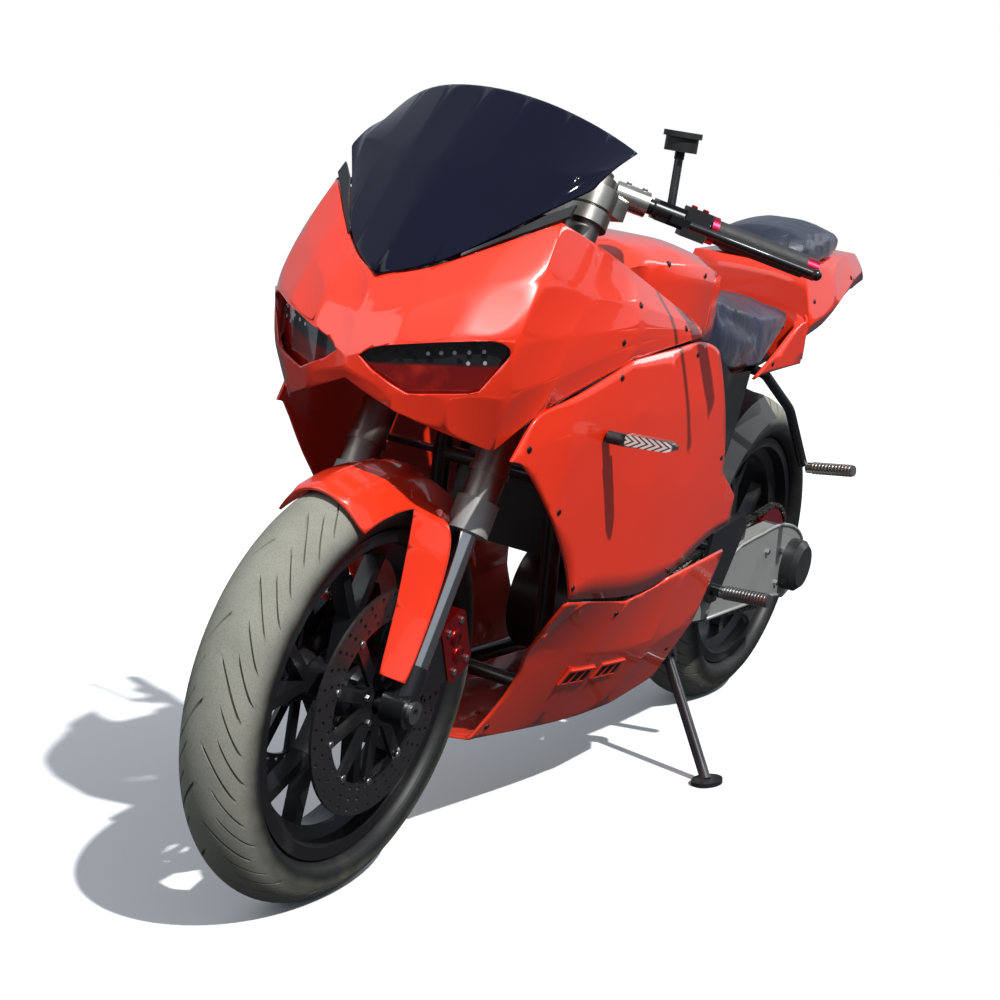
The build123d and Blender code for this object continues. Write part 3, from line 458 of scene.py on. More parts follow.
def merged(name):
    """A merged copy of a carried-over piece's mesh, with its flat faces joined."""
    form = bmesh.new()
    form.from_mesh(frame["nodes"][name].data)
    bmesh.ops.remove_doubles(form, verts=form.verts, dist=1e-5)
    bmesh.ops.dissolve_limit(form, angle_limit=FLAT_ANGLE, verts=form.verts, edges=form.edges)
    return form


def softened(name, body, material):
    """A panel whose flat faces flow into each other, while its rims stay as they are cut."""
    form = merged(name)
    bmesh.ops.triangulate(form, faces=[f for f in form.faces if len(f.verts) > 4])
    bmesh.ops.join_triangles(form, faces=form.faces, angle_face_threshold=JOIN_ANGLE,
                             angle_shape_threshold=math.pi)
    sharp = form.edges.layers.float.new("crease_edge")
    for edge in form.edges:
        if len(edge.link_faces) != 2 or edge.calc_face_angle(0) > CREASE_ANGLE:
            edge[sharp] = 1.0
    mesh = bpy.data.meshes.new(name)
    form.to_mesh(mesh)
    form.free()
    piece = finish_piece(name + "_shell", mesh, body, [material], True, [name])
    flow = piece.modifiers.new("flow", "SUBSURF")
    flow.levels = flow.render_levels = FLOW_LEVELS


def mesh_of(name, points, faces):
    """A mesh from upright points in millimetres, leaned with the machine, its faces turned outward."""
    mesh = bpy.data.meshes.new(name)
    mesh.from_pydata([row(*p) for p in points], [], faces)
    form = bmesh.new()
    form.from_mesh(mesh)
    bmesh.ops.remove_doubles(form, verts=form.verts, dist=1e-6)
    bmesh.ops.recalc_face_normals(form, faces=form.faces)
    form.to_mesh(mesh)
    form.free()
    return mesh


def grid_faces(rows, columns, closed=False, start=0):
    """Quads between the points of a grid laid out row by row; each row is a ring, and so is a closed grid."""
    faces = []
    for i in range(rows if closed else rows - 1):
        near, far = start + i * columns, start + (i + 1) % rows * columns
        for j in range(columns):
            k = (j + 1) % columns
            faces.append((near + j, near + k, far + k, far + j))
    return faces


def block(half, low, high, sides=6, bevel=0.0):
    """A prism about the z axis, for bolts and buttons: points and faces, in millimetres."""
    rings = [(half, low), (half, high - bevel)] + ([(half - bevel, high)] if bevel else [])
    points = [(r * math.cos(2 * math.pi * k / sides), r * math.sin(2 * math.pi * k / sides), z)
              for r, z in rings for k in range(sides)]
    faces = grid_faces(len(rings), sides)
    faces += [tuple(range(sides))[::-1], tuple(range(len(points) - sides, len(points)))]
    return points, faces


def bars(boxes):
    """Low boxes on a surface, each given as x0, x1, y0, y1 and a height: points and faces, in millimetres."""
    points, faces = [], []
    for x0, x1, y0, y1, high in boxes:
        n = len(points)
        points += [(x, y, z) for z in (-1.5, high) for x, y in ((x0, y0), (x1, y0), (x1, y1), (x0, y1))]
        faces += [(n + 3, n + 2, n + 1, n), (n + 4, n + 5, n + 6, n + 7)]
        faces += [(n + k, n + (k + 1) % 4, n + 4 + (k + 1) % 4, n + 4 + k) for k in range(4)]
    return points, faces


# Repeated pieces

def placer():
    """A tree that sets one small part at every point, its z axis along "out" and its x axis along "along"."""
    tree = bpy.data.node_groups.new("set_at_points", "GeometryNodeTree")
    for name, kind in (("Geometry", "Geometry"), ("Part", "Object"), ("Finish", "Material")):
        tree.interface.new_socket(name, in_out="INPUT", socket_type="NodeSocket" + kind)
    tree.interface.new_socket("Geometry", in_out="OUTPUT", socket_type="NodeSocketGeometry")
    new, link = tree.nodes.new, tree.links.new
    given, result = new("NodeGroupInput"), new("NodeGroupOutput")
    part = new("GeometryNodeObjectInfo")
    link(given.outputs["Part"], part.inputs["Object"])
    turns = []
    for name, axis, pivot in (("out", "Z", "AUTO"), ("along", "X", "Z")):
        value = new("GeometryNodeInputNamedAttribute")
        value.data_type = "FLOAT_VECTOR"
        value.inputs["Name"].default_value = name
        turn = new("FunctionNodeAlignRotationToVector")
        turn.axis = axis
        turn.pivot_axis = pivot
        link(value.outputs["Attribute"], turn.inputs["Vector"])
        if turns:
            link(turns[-1].outputs["Rotation"], turn.inputs["Rotation"])
        turns.append(turn)
    spread = new("GeometryNodeInstanceOnPoints")
    link(given.outputs["Geometry"], spread.inputs["Points"])
    link(part.outputs["Geometry"], spread.inputs["Instance"])
    link(turns[-1].outputs["Rotation"], spread.inputs["Rotation"])
    real, colour = new("GeometryNodeRealizeInstances"), new("GeometryNodeSetMaterial")
    link(spread.outputs["Instances"], real.inputs["Geometry"])
    link(real.outputs["Geometry"], colour.inputs["Geometry"])
    link(given.outputs["Finish"], colour.inputs["Material"])
    link(colour.outputs["Geometry"], result.inputs["Geometry"])
    return tree


def repeat(name, part, places, body, material, smooth=False, replaces=()):
    """Sets a small part at each place, given as an upright point, an outward way and a way along."""
    tree = bpy.data.node_groups.get("set_at_points") or placer()
    turn = TO_ROW.to_3x3()
    cloud = bpy.data.meshes.new(name)
    cloud.from_pydata([row(*place[0]) for place in places], [], [])
    for word, which in (("out", 1), ("along", 2)):
        ways = [(turn @ Vector(place[which])).normalized() for place in places]
        values = cloud.attributes.new(word, "FLOAT_VECTOR", "POINT")
        values.data.foreach_set("vector", [c for way in ways for c in way])
    points, faces = part
    small = bpy.data.meshes.new(name + "_one")
    small.from_pydata([tuple(c / 1000 for c in p) for p in points], [], faces)
    pattern = bpy.data.objects.new(name + "_one", small)
    holder = bpy.data.objects.new(name + "_places", cloud)
    context = bpy.context
    context.scene.collection.objects.link(pattern)
    context.scene.collection.objects.link(holder)
    modifier = holder.modifiers.new("places", "NODES")
    modifier.node_group = tree
    sockets = {item.name: item.identifier for item in tree.interface.items_tree if item.in_out == "INPUT"}
    modifier[sockets["Part"]] = pattern
    modifier[sockets["Finish"]] = material
    context.view_layer.update()
    mesh = bpy.data.meshes.new_from_object(holder.evaluated_get(context.evaluated_depsgraph_get()))
    mesh.name = name
    for attribute in ("out", "along"):
        if attribute in mesh.attributes:
            mesh.attributes.remove(mesh.attributes[attribute])
    holder.modifiers.remove(modifier)
    bpy.data.objects.remove(holder)
    bpy.data.objects.remove(pattern)
    return finish_piece(name, mesh, body, [material], smooth, replaces)


def both_sides(places):
    """The left side's places, then the same ones on the right."""
    return [tuple((side * v[0], v[1], v[2]) for v in place) for side in (1, -1) for place in places]


def around(centre, radius, count, x, start):
    """Points on a circle about a wheel's axis, each with the way along the axis and the way outward."""
    places = []
    for k in range(count):
        turn = start + 2 * math.pi * k / count
        reach = Vector((0, math.cos(turn), math.sin(turn)))
        at = Vector(centre) * 1000 + reach * radius + Vector((x, 0, 0))
        places.append((tuple(at), (1 if x > 0 else -1, 0, 0), tuple(reach)))
    return places


# Sizes and colours that a user would change

class MotorcycleLook(bpy.types.PropertyGroup):
    """The colours that a user would change"""
    paint: bpy.props.FloatVectorProperty(
        name="Paint", description="Colour of the painted panels", subtype="COLOR",
        default=(0.96, 0.040, 0.009), min=0, max=1)
    vinyl: bpy.props.FloatVectorProperty(
        name="Seat vinyl", description="Colour of the two seats' covers", subtype="COLOR",
        default=(0.010, 0.016, 0.036), min=0, max=1)


class MotorcycleStage(bpy.types.PropertyGroup):
    """The camera, the floor and the lights"""
    camera_place: bpy.props.FloatVectorProperty(
        name="Camera place", description="Where the camera stands", subtype="XYZ", unit="LENGTH",
        default=(1.2067, -2.6902, 0.8298))
    camera_turn: bpy.props.FloatProperty(
        name="Camera turn", description="How far the camera is turned from the machine's length",
        subtype="ANGLE", default=math.radians(28.908))
    camera_dip: bpy.props.FloatProperty(
        name="Camera dip", description="How far the camera looks down", subtype="ANGLE",
        default=math.radians(7.152))
    camera_roll: bpy.props.FloatProperty(
        name="Camera roll", description="How far the camera is rolled", subtype="ANGLE",
        default=math.radians(-0.413))
    camera_lens: bpy.props.FloatProperty(
        name="Camera lens", description="Focal length on a 36 mm sensor", default=65.12, min=10)
    floor_colour: bpy.props.FloatVectorProperty(
        name="Floor colour", description="Colour of the pale floor", subtype="COLOR",
        default=(0.95, 0.95, 0.95))
    floor_span: bpy.props.FloatProperty(
        name="Floor span", description="Width of the floor", default=400.0, unit="LENGTH")
    sun_from: bpy.props.FloatVectorProperty(
        name="Sun from", description="The way to the sun", subtype="XYZ", default=(1.25, -0.55, 1.35))
    sun_strength: bpy.props.FloatProperty(
        name="Sun strength", description="Power of the sun", default=4.3, min=0)
    sky_strength: bpy.props.FloatProperty(
        name="Sky strength", description="Power of the sky", default=0.42, min=0)


class MOTO_OT_finishes(bpy.types.Operator):
    """Give every piece of the frame its finish"""
    bl_idname = "moto.finishes"
    bl_label = "Finishes"

    def execute(self, context):
        look = context.scene.moto_look
        rear = TO_ROW @ REAR_AXLE
        paint = red_paint(look)
        for name in ("nose_fairing", "side_fairing_left", "side_fairing_right", "belly_fairing_left",
                     "belly_fairing_right", "tank_cover", "tail_fairing"):
            softened(name, "chassis", paint)
        softened("front_mudguard", "steering", paint)
        softened("windscreen", "chassis", tinted_screen())
        dress(["front_calipers", "rear_caliper"], anodised("red_enamel", (0.62, 0.012, 0.016)))
        dress(["grip_collars_and_ends", "rear_sprocket"], anodised("red_anodising", (0.62, 0.015, 0.05)))
        dress(["headlights"], lamp_glass())
        dress(["tail_light"], red_lens())
        dress(["front_indicators"], indicator_lens())
        dress(["grips"], grip_rubber())
        dress(["rear_brake_disc"], turned_steel("rear_disc_steel", rear, WHEEL_AXIS))
        dress(["drive_sprocket"], plain_steel("drive_sprocket_steel", (0.30, 0.29, 0.27), 0.34))
        dress(["front_axle", "rear_axle", "swingarm_pivot", "rider_pegs"], plain_steel("plated_steel"))
        dress(["passenger_pegs", "handlebar_clamps", "top_yoke"], bright_alloy())
        dress(["fork_tubes"], plain_steel("fork_tube_alloy", (0.40, 0.36, 0.33), 0.28))
        dress(["swingarm", "fork_collars"], grey_casting())
        dress(["fork_stanchions"], hard_chrome())
        dress(["front_rim", "rear_rim", "passenger_peg_brackets", "rider_peg_brackets", "fork_axle_lugs",
               "lower_yoke", "front_disc_carriers", "handlebars", "brake_levers", "brake_masters", "stem_nut"],
              satin_black("black_casting", (0.012, 0.012, 0.014), 0.34, 300, 0.3, 0.3))
        dress(["main_frame", "side_stand", "shock_absorber"],
              satin_black("frame_paint", (0.014, 0.014, 0.016), 0.3, 500, 0.0, 0.5))
        dress(["drive_motor", "battery_pack", "axle_cap"],
              satin_black("motor_black", (0.02, 0.02, 0.021), 0.36, 350))
        dress(["switchgear", "fluid_reservoirs", "mirror_pads", "dashboard", "rear_hugger"],
              satin_black("moulded_black", (0.017, 0.017, 0.018), 0.5, 620))
        return {"FINISHED"}


def arc(start, middle, end, count):
    """Points of the circle through three points of a plane, from the first to the last."""
    (ax, ay), (bx, by), (cx, cy) = start, middle, end
    d = 2 * (ax * (by - cy) + bx * (cy - ay) + cx * (ay - by))
    a2, b2, c2 = ax * ax + ay * ay, bx * bx + by * by, cx * cx + cy * cy
    ux = (a2 * (by - cy) + b2 * (cy - ay) + c2 * (ay - by)) / d
    uy = (a2 * (cx - bx) + b2 * (ax - cx) + c2 * (bx - ax)) / d
    first = math.atan2(ay - uy, ax - ux)
    half = (math.atan2(by - uy, bx - ux) - first + math.pi) % (2 * math.pi) - math.pi
    whole = (math.atan2(cy - uy, cx - ux) - first + math.pi) % (2 * math.pi) - math.pi
    if half * whole < 0:
        whole += math.copysign(2 * math.pi, half)
    radius = math.hypot(ax - ux, ay - uy)
    turns = [first + whole * k / count for k in range(count + 1)]
    return [(ux + radius * math.cos(turn), uy + radius * math.sin(turn)) for turn in turns]


# Share of a pitch where each groove of the tread starts, its width, and how far across the tread it runs
GROOVES = [(0.02, 0.058, 0.10, 0.84), (0.34, 0.046, 0.40, 0.92), (0.66, 0.046, 0.46, 0.98)]
GROOVE_DEPTH = 3.6
TREAD_PITCHES = 17
TREAD_SWEEP = 0.62


def treaded_tyre(name, radius, half, rim_half, centre):
    """A tyre whose grooves sweep back from its middle, those of one side between those of the other."""
    crown = half * 0.8
    shoulder_r, wide_r, bead_r = radius - crown * 0.72, radius - crown * 1.08, RIM_SEAT + 0.3
    bead_x, wall = rim_half - 6.3, 10
    tread = arc((-half * 0.93, shoulder_r), (0, radius), (half * 0.93, shoulder_r), 44)
    side = arc((half * 0.93, shoulder_r), (half, wide_r), (bead_x, bead_r + 12), 10)[1:]
    foot = [(bead_x, bead_r), (bead_x - wall, bead_r), (bead_x - wall, bead_r + 12), (half - wall, wide_r),
            ((half - wall) * 0.93, shoulder_r - 6), (0, radius - wall)]
    outer = tread + side + foot
    profile = outer + [(-x, r) for x, r in reversed(foot[:-1])] + [(-x, r) for x, r in reversed(side)]
    shares = set()
    for start, width, _, _ in GROOVES:
        for shift in (0.0, 0.5):
            for step in (0, 0.008, width - 0.008, width):
                shares.add(round((start + shift + step) % 1.0, 4))
    shares |= {round(k / 12, 4) for k in range(12)}
    shares = sorted(shares)
    points = []
    for pitch in range(TREAD_PITCHES):
        for share in shares:
            for k, (x, r) in enumerate(profile):
                across = abs(x) / (half * 0.93)
                depth = 0.0
                if k < len(tread):
                    own = (share - (0.5 if x > 0 else 0.0)) % 1.0
                    for start, width, low, high in GROOVES:
                        if start + 0.004 < own < start + width - 0.004 and low < across < high:
                            depth = GROOVE_DEPTH * min(1.0, (across - low) * 14, (high - across) * 14)
                lean = math.atan2(x, r - (radius - crown))
                sweep = TREAD_SWEEP * across ** 1.35 if k < len(tread) else TREAD_SWEEP
                turn = 2 * math.pi * (pitch + share) / TREAD_PITCHES + sweep * 0.55
                reach = r - depth * math.cos(lean)
                points.append((x - depth * math.sin(lean), centre[1] * 1000 + reach * math.cos(turn),
                               centre[2] * 1000 + reach * math.sin(turn)))
    faces = grid_faces(TREAD_PITCHES * len(shares), len(profile), True)
    return mesh_of(name, points, faces)


def disc_cell(count, bands, hole, half):
    """One sector of a perforated disc about the z axis, x outward, with a hole in every band."""
    points, faces = [], []
    half_turn = math.pi / count

    for k, (r0, r1) in enumerate(bands):
        middle = (r0 + r1) / 2
        swing = half_turn * 0.45 * (k - (len(bands) - 1) / 2)
        rim = [(r1, 0), (r1, half_turn), (middle, half_turn), (r0, half_turn), (r0, 0), (r0, -half_turn),
               (middle, -half_turn), (r1, -half_turn)]
        start = len(points)
        for z in (half, -half):
            points += [(r * math.cos(angle), r * math.sin(angle), z) for r, angle in rim]
            x, y = middle * math.cos(swing), middle * math.sin(swing)
            points += [(x + hole * math.cos(t), y + hole * math.sin(t), z)
                       for t in [2 * math.pi * i / 8 for i in range(8)]]
        for i in range(8):
            j = (i + 1) % 8
            faces.append((start + i, start + j, start + 8 + j, start + 8 + i))
            faces.append((start + 16 + j, start + 16 + i, start + 24 + i, start + 24 + j))
            faces.append((start + 8 + i, start + 8 + j, start + 24 + j, start + 24 + i))
            if (k == len(bands) - 1 and i in (0, 7)) or (k == 0 and i in (3, 4)):
                faces.append((start + j, start + i, start + 16 + i, start + 16 + j))
    return points, faces


def link_part(length, wide, near, far, roller):
    """A chain link about its middle: two waisted plates and the roller at one end, x along the chain."""
    points, faces = [], []
    outline = []
    for end in (1, -1):
        for k in range(5):
            turn = math.radians(-60 + 30 * k)
            outline.append((end * (length / 2 + wide * math.cos(turn)), end * wide * math.sin(turn)))
        outline.append((0, end * wide * 0.62))
    count = len(outline)
    for side in (1, -1):
        start = len(points)
        for z in (near, far):
            points += [(x, y, side * z) for x, y in outline]
        faces += grid_faces(2, count, start=start)
        faces += [tuple(start + k for k in range(count)), tuple(start + count + k for k in range(count))]
    start = len(points)
    for z in (-far - 0.5, far + 0.5):
        points += [(length / 2 + roller * math.cos(k * math.pi / 4), roller * math.sin(k * math.pi / 4), z)
                   for k in range(8)]
    faces += grid_faces(2, 8, start=start)
    faces += [tuple(range(start, start + 8)), tuple(range(start + 8, start + 16))]
    form = bmesh.new()
    corners = [form.verts.new(p) for p in points]
    for face in faces:
        form.faces.new([corners[k] for k in face])
    bmesh.ops.recalc_face_normals(form, faces=form.faces)
    result = ([tuple(v.co) for v in form.verts], [tuple(v.index for v in f.verts) for f in form.faces])
    form.free()
    return result


def chain_path():
    """The chain's pitch line in side view."""
    a, b = Vector((MOTOR[0], MOTOR[1])), Vector((REAR_AXLE.y * 1000, REAR_AXLE.z * 1000))
    ra, rb = DRIVE_PITCH_R, REAR_PITCH_R
    span, tilt = (b - a).length, math.atan2(b.y - a.y, b.x - a.x)
    spread = math.acos((ra - rb) / span)
    points = []
    for k in range(41):
        turn = tilt + spread + (2 * math.pi - 2 * spread) * k / 40
        points.append(a + ra * Vector((math.cos(turn), math.sin(turn))))
    for k in range(81):
        turn = tilt - spread + 2 * spread * k / 80
        points.append(b + rb * Vector((math.cos(turn), math.sin(turn))))
    points.append(points[0])
    return points


def along_path(points, count):
    """Equally spaced points of a path, each with the path's way there."""
    lengths = [0.0]
    for p, q in zip(points, points[1:]):
        lengths.append(lengths[-1] + (q - p).length)
    result = []
    k = 0
    for i in range(count):
        want = lengths[-1] * i / count
        while lengths[k + 1] < want:
            k += 1
        share = (want - lengths[k]) / max(1e-9, lengths[k + 1] - lengths[k])
        result.append((points[k].lerp(points[k + 1], share), (points[k + 1] - points[k]).normalized()))
    return result


class MOTO_OT_wheels(bpy.types.Operator):
    """Build the grooved tyres, the perforated discs with their rivets, the sprocket's teeth and the chain"""
    bl_idname = "moto.wheels"
    bl_label = "Wheels and chain"

    def execute(self, context):
        front, rear = TO_ROW @ FRONT_AXLE, TO_ROW @ REAR_AXLE
        steel = turned_steel("front_disc_steel", front, WHEEL_AXIS, (0.20, 0.19, 0.19))
        for name, body, radius, half, rim_half, centre, place in (
                ("front_tyre", "front_wheel", 293, 55, 40, FRONT_AXLE, front),
                ("rear_tyre", "rear_wheel", 305, 70, 52, REAR_AXLE, rear)):
            rubber = tyre_rubber(name + "_rubber", place, radius / 1000)
            mesh = treaded_tyre(name + "_grooved", radius, half, rim_half, centre)
            finish_piece(name + "_grooved", mesh, body, [rubber], True, [name])
            mesh.set_sharp_from_angle(angle=math.radians(38))
        cell = disc_cell(DISC_HOLES, DISC_BANDS, DISC_HOLE_R, DISC_HALF)
        turns = [2 * math.pi * k / DISC_HOLES for k in range(DISC_HOLES)]
        rings = [((x, 0, FRONT_RADIUS * 1000), (1, 0, 0), (0, math.cos(t), math.sin(t)))
                 for x in (DISC_X, -DISC_X) for t in turns]
        repeat("front_discs_drilled", cell, rings, "front_wheel", steel,
               replaces=["front_brake_discs"])
        rivet = block(5.5, -1, 1.6, 12, 0.6)
        zinc = plain_steel("zinc_fasteners", (0.5, 0.5, 0.49), 0.26)
        buttons = [place for x in (DISC_X + DISC_HALF, -DISC_X - DISC_HALF)
                   for place in around(FRONT_AXLE, 112.5, 10, x, math.pi / 2)]
        repeat("front_disc_rivets", rivet, buttons, "front_wheel", zinc, True)
        heads = [place for x in (64, -64) for place in around(FRONT_AXLE, 32, 5, x, 0.3)]
        repeat("front_disc_bolts", block(5, -2, 4.2, 6, 0.7), heads, "front_wheel", zinc)
        teeth = around(REAR_AXLE, TOOTH_FOOT_R, TEETH, CHAIN_X, 0.0)
        tooth = ([(-1, -3.6, -3), (-1, 3.6, -3), (7.5, 1.2, -3), (7.5, -1.2, -3), (-1, -3.6, 3), (-1, 3.6, 3),
                  (7.5, 1.2, 3), (7.5, -1.2, 3)],
                 [(3, 2, 1, 0), (4, 5, 6, 7), (0, 1, 5, 4), (1, 2, 6, 5), (2, 3, 7, 6), (3, 0, 4, 7)])
        repeat("rear_sprocket_teeth", tooth, teeth, "rear_wheel",
               anodised("red_sprocket", (0.5, 0.012, 0.03)))
        repeat("rear_sprocket_nuts", block(6.5, -2, 5, 6, 0.8), around(REAR_AXLE, 56, 6, CHAIN_X + 3, 0.2),
               "rear_wheel", zinc)
        path = chain_path()
        count = 2 * round(sum((q - p).length for p, q in zip(path, path[1:])) / CHAIN_PITCH / 2)
        spots = along_path(path, count)
        oiled = plain_steel("chain_steel", (0.22, 0.21, 0.19), 0.32)
        for name, parity, near, far, replaced in (("chain_outer_links", 0, 4.6, 6.2, ["drive_chain"]),
                                                  ("chain_inner_links", 1, 2.9, 4.4, [])):
            link = link_part(CHAIN_PITCH, LINK_HALF_WIDTH, near, far, LINK_ROLLER_R)
            places = [((CHAIN_X, at.x, at.y), (1, 0, 0), (0, way.x, way.y)) for at, way in spots[parity::2]]
            repeat(name, link, places, "chassis", oiled, replaces=replaced)
        return {"FINISHED"}


def padded_seat(name, material, cap):
    """A seat whose cover bulges from its foam: its form, remeshed, blown up by a cloth and creased."""
    form = merged(name)
    low = Vector((1e9,) * 3)
    high = -low
    for vertex in form.verts:
        low = Vector(map(min, low, vertex.co))
        high = Vector(map(max, high, vertex.co))
    middle = (low + high) / 2
    for vertex in form.verts:
        for k in range(3):
            vertex.co[k] = middle[k] + (vertex.co[k] - middle[k]) * (1 - 2 * SEAT_INSET / (high[k] - low[k]))
    mesh = bpy.data.meshes.new(name + "_cover")
    form.to_mesh(mesh)
    form.free()
    piece = bpy.data.objects.new(name + "_cover", mesh)
    scene = bpy.context.scene
    scene.collection.objects.link(piece)
    voxels = piece.modifiers.new("voxels", "REMESH")
    voxels.mode = "VOXEL"
    voxels.voxel_size = SEAT_VOXEL
    relax = piece.modifiers.new("relax", "SMOOTH")
    relax.factor, relax.iterations = 0.5, 12
    shape_of(piece)
    rest = [v.co.copy() for v in piece.data.vertices]
    cloth = piece.modifiers.new("cover", "CLOTH")
    cloth.settings.use_pressure = True
    cloth.settings.uniform_pressure_force = SEAT_PRESSURE
    cloth.settings.effector_weights.gravity = 0.0
    cloth.settings.quality = 5
    for step in range(1, SEAT_STEPS + 1):
        scene.frame_set(step)
    shape_of(piece)
    scene.frame_set(1)
    for vertex, start in zip(piece.data.vertices, rest):
        move = vertex.co - start
        # The base stays on what carries the seat, and the rest moves no further than the cap
        share = min(1.0, max(0.0, (start.z - low.z) / (SEAT_BASE_SHARE * (high.z - low.z))))
        if move.length > cap:
            move *= cap / move.length
        vertex.co = start + move * share
    for vertex in piece.data.vertices:
        crease = (noise.fractal(vertex.co * 21, 1.0, 2.0, 4) * 0.0013
                  + noise.fractal(vertex.co * 70, 1.0, 2.0, 3) * 0.0005)
        vertex.co += vertex.normal * (crease - 0.0008)
        for k in range(3):
            vertex.co[k] = min(max(vertex.co[k], low[k]), high[k])
    piece.data.materials.clear()
    piece.data.materials.append(material)
    piece.data.shade_smooth()
    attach(piece, "chassis")
    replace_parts(piece, name)
    fine = piece.modifiers.new("fine", "SUBSURF")
    fine.levels = fine.render_levels = 1


def shape_of(piece):
    """Applies a piece's modifiers to its mesh."""
    graph = bpy.context.evaluated_depsgraph_get()
    graph.update()
    mesh = bpy.data.meshes.new_from_object(piece.evaluated_get(graph))
    piece.modifiers.clear()
    piece.data = mesh


def seats_on(piece, points, way, along):
    """Places on a piece where lines through upright points, looking back along a way, first meet it."""
    turn = TO_ROW.to_3x3()
    look = -(turn @ Vector(way)).normalized()
    surface = piece.evaluated_get(bpy.context.evaluated_depsgraph_get())
    places = []
    for point in points:
        hit, at, normal, _ = surface.ray_cast(row(*point) - look * 0.25, look)
        if hit:
            places.append((tuple(TO_ROW.inverted() @ at * 1000), tuple(turn.inverted() @ normal), along))
    return places


def tube_mesh(name, points, radii, sides=14, fineness=6):
    """A round tube of changing radius through upright points, bent smoothly and closed at its ends."""
    path, widths = [], []
    points = [Vector(p) for p in points]
    ends = [points[0] * 2 - points[1]] + points + [points[-1] * 2 - points[-2]]
    for k in range(len(points) - 1):
        a, b, c, d = ends[k:k + 4]
        for i in range(fineness):
            t = i / fineness
            path.append(0.5 * (2 * b + (c - a) * t + (2 * a - 5 * b + 4 * c - d) * t * t
                               + (3 * b - a - 3 * c + d) * t ** 3))
            widths.append(radii[k] + (radii[k + 1] - radii[k]) * t)
    path.append(points[-1])
    widths.append(radii[-1])
    ring = []
    across = None
    for k, at in enumerate(path):
        way = (path[min(k + 1, len(path) - 1)] - path[max(k - 1, 0)]).normalized()
        across = way.orthogonal() if across is None else across - way * across.dot(way)
        across.normalize()
        other = way.cross(across)
        ring += [tuple(at + widths[k] * (across * math.cos(2 * math.pi * i / sides)
                                         + other * math.sin(2 * math.pi * i / sides))) for i in range(sides)]
    faces = grid_faces(len(path), sides)
    faces += [tuple(range(sides)), tuple(range(len(ring) - sides, len(ring)))]
    return mesh_of(name, ring, faces)


def slab(name, outline, low, high):
    """A flat plate with a side-view outline, between two distances from the middle plane."""
    count = len(outline)
    points = [(x, y, z) for x in (low, high) for y, z in outline]
    faces = grid_faces(2, count) + [tuple(range(count)), tuple(range(count, 2 * count))]
    return mesh_of(name, points, faces)


class MOTO_OT_soft(bpy.types.Operator):
    """Blow up and crease the covers of the two seats"""
    bl_idname = "moto.soft"
    bl_label = "Seats"

    def execute(self, context):
        vinyl = seat_vinyl(context.scene.moto_look)
        padded_seat("rider_seat", vinyl, 0.006)
        padded_seat("passenger_seat", vinyl, 0.005)
        return {"FINISHED"}


SIDES = ((1, "_left"), (-1, "_right"))
# Panel screws: the panel, then where each sits in side view, in millimetres rearward and up
PANEL_SCREWS = [
    ("side_fairing", [(64, 655), (258, 742), (520, 762), (690, 590), (560, 424), (240, 446), (150, 566)]),
    ("belly_fairing", [(420, 376), (690, 432), (300, 190), (740, 250)]),
    ("nose_fairing", [(300, 838), (480, 800), (250, 790)]),
    ("tail_fairing", [(1240, 812), (1500, 850), (1060, 706)]),
    ("tank_cover", [(700, 862), (560, 880)])]
SWINGARM_BOLTS = [(1268, 338), (1190, 348), (1368, 330), (1272, 276)]
SWINGARM_EDGE = [(930, 262), (1270, 250), (1330, 240), (1388, 275), (1392, 335), (1340, 372), (1250, 392),
                 (1150, 388), (1000, 366)]
FRAME_PANEL = [(800, 744), (830, 735), (919, 690), (1006, 692), (985, 600), (930, 480), (880, 445),
               (840, 450), (806, 500)]
# Diodes in front view, and the scoops' boxes on their panel; the opening's box is a dark sheet of painted
# shade
LAMP_DIODES = [(92, 764), (106, 767), (120, 770), (134, 773), (148, 776), (150, 762), (134, 759)]
SCOOP_SHADE_SHEET = [(-32, 32, -14, 14, 0.7)]
SCOOP_LIP = [(-35, 35, 13, 17, 3.0), (-36, -31, -15, 17, 2.6), (-13, -9, -14, 14, 2.4),
             (11, 15, -14, 14, 2.4), (-34, 34, -17, -14, 1.4)]


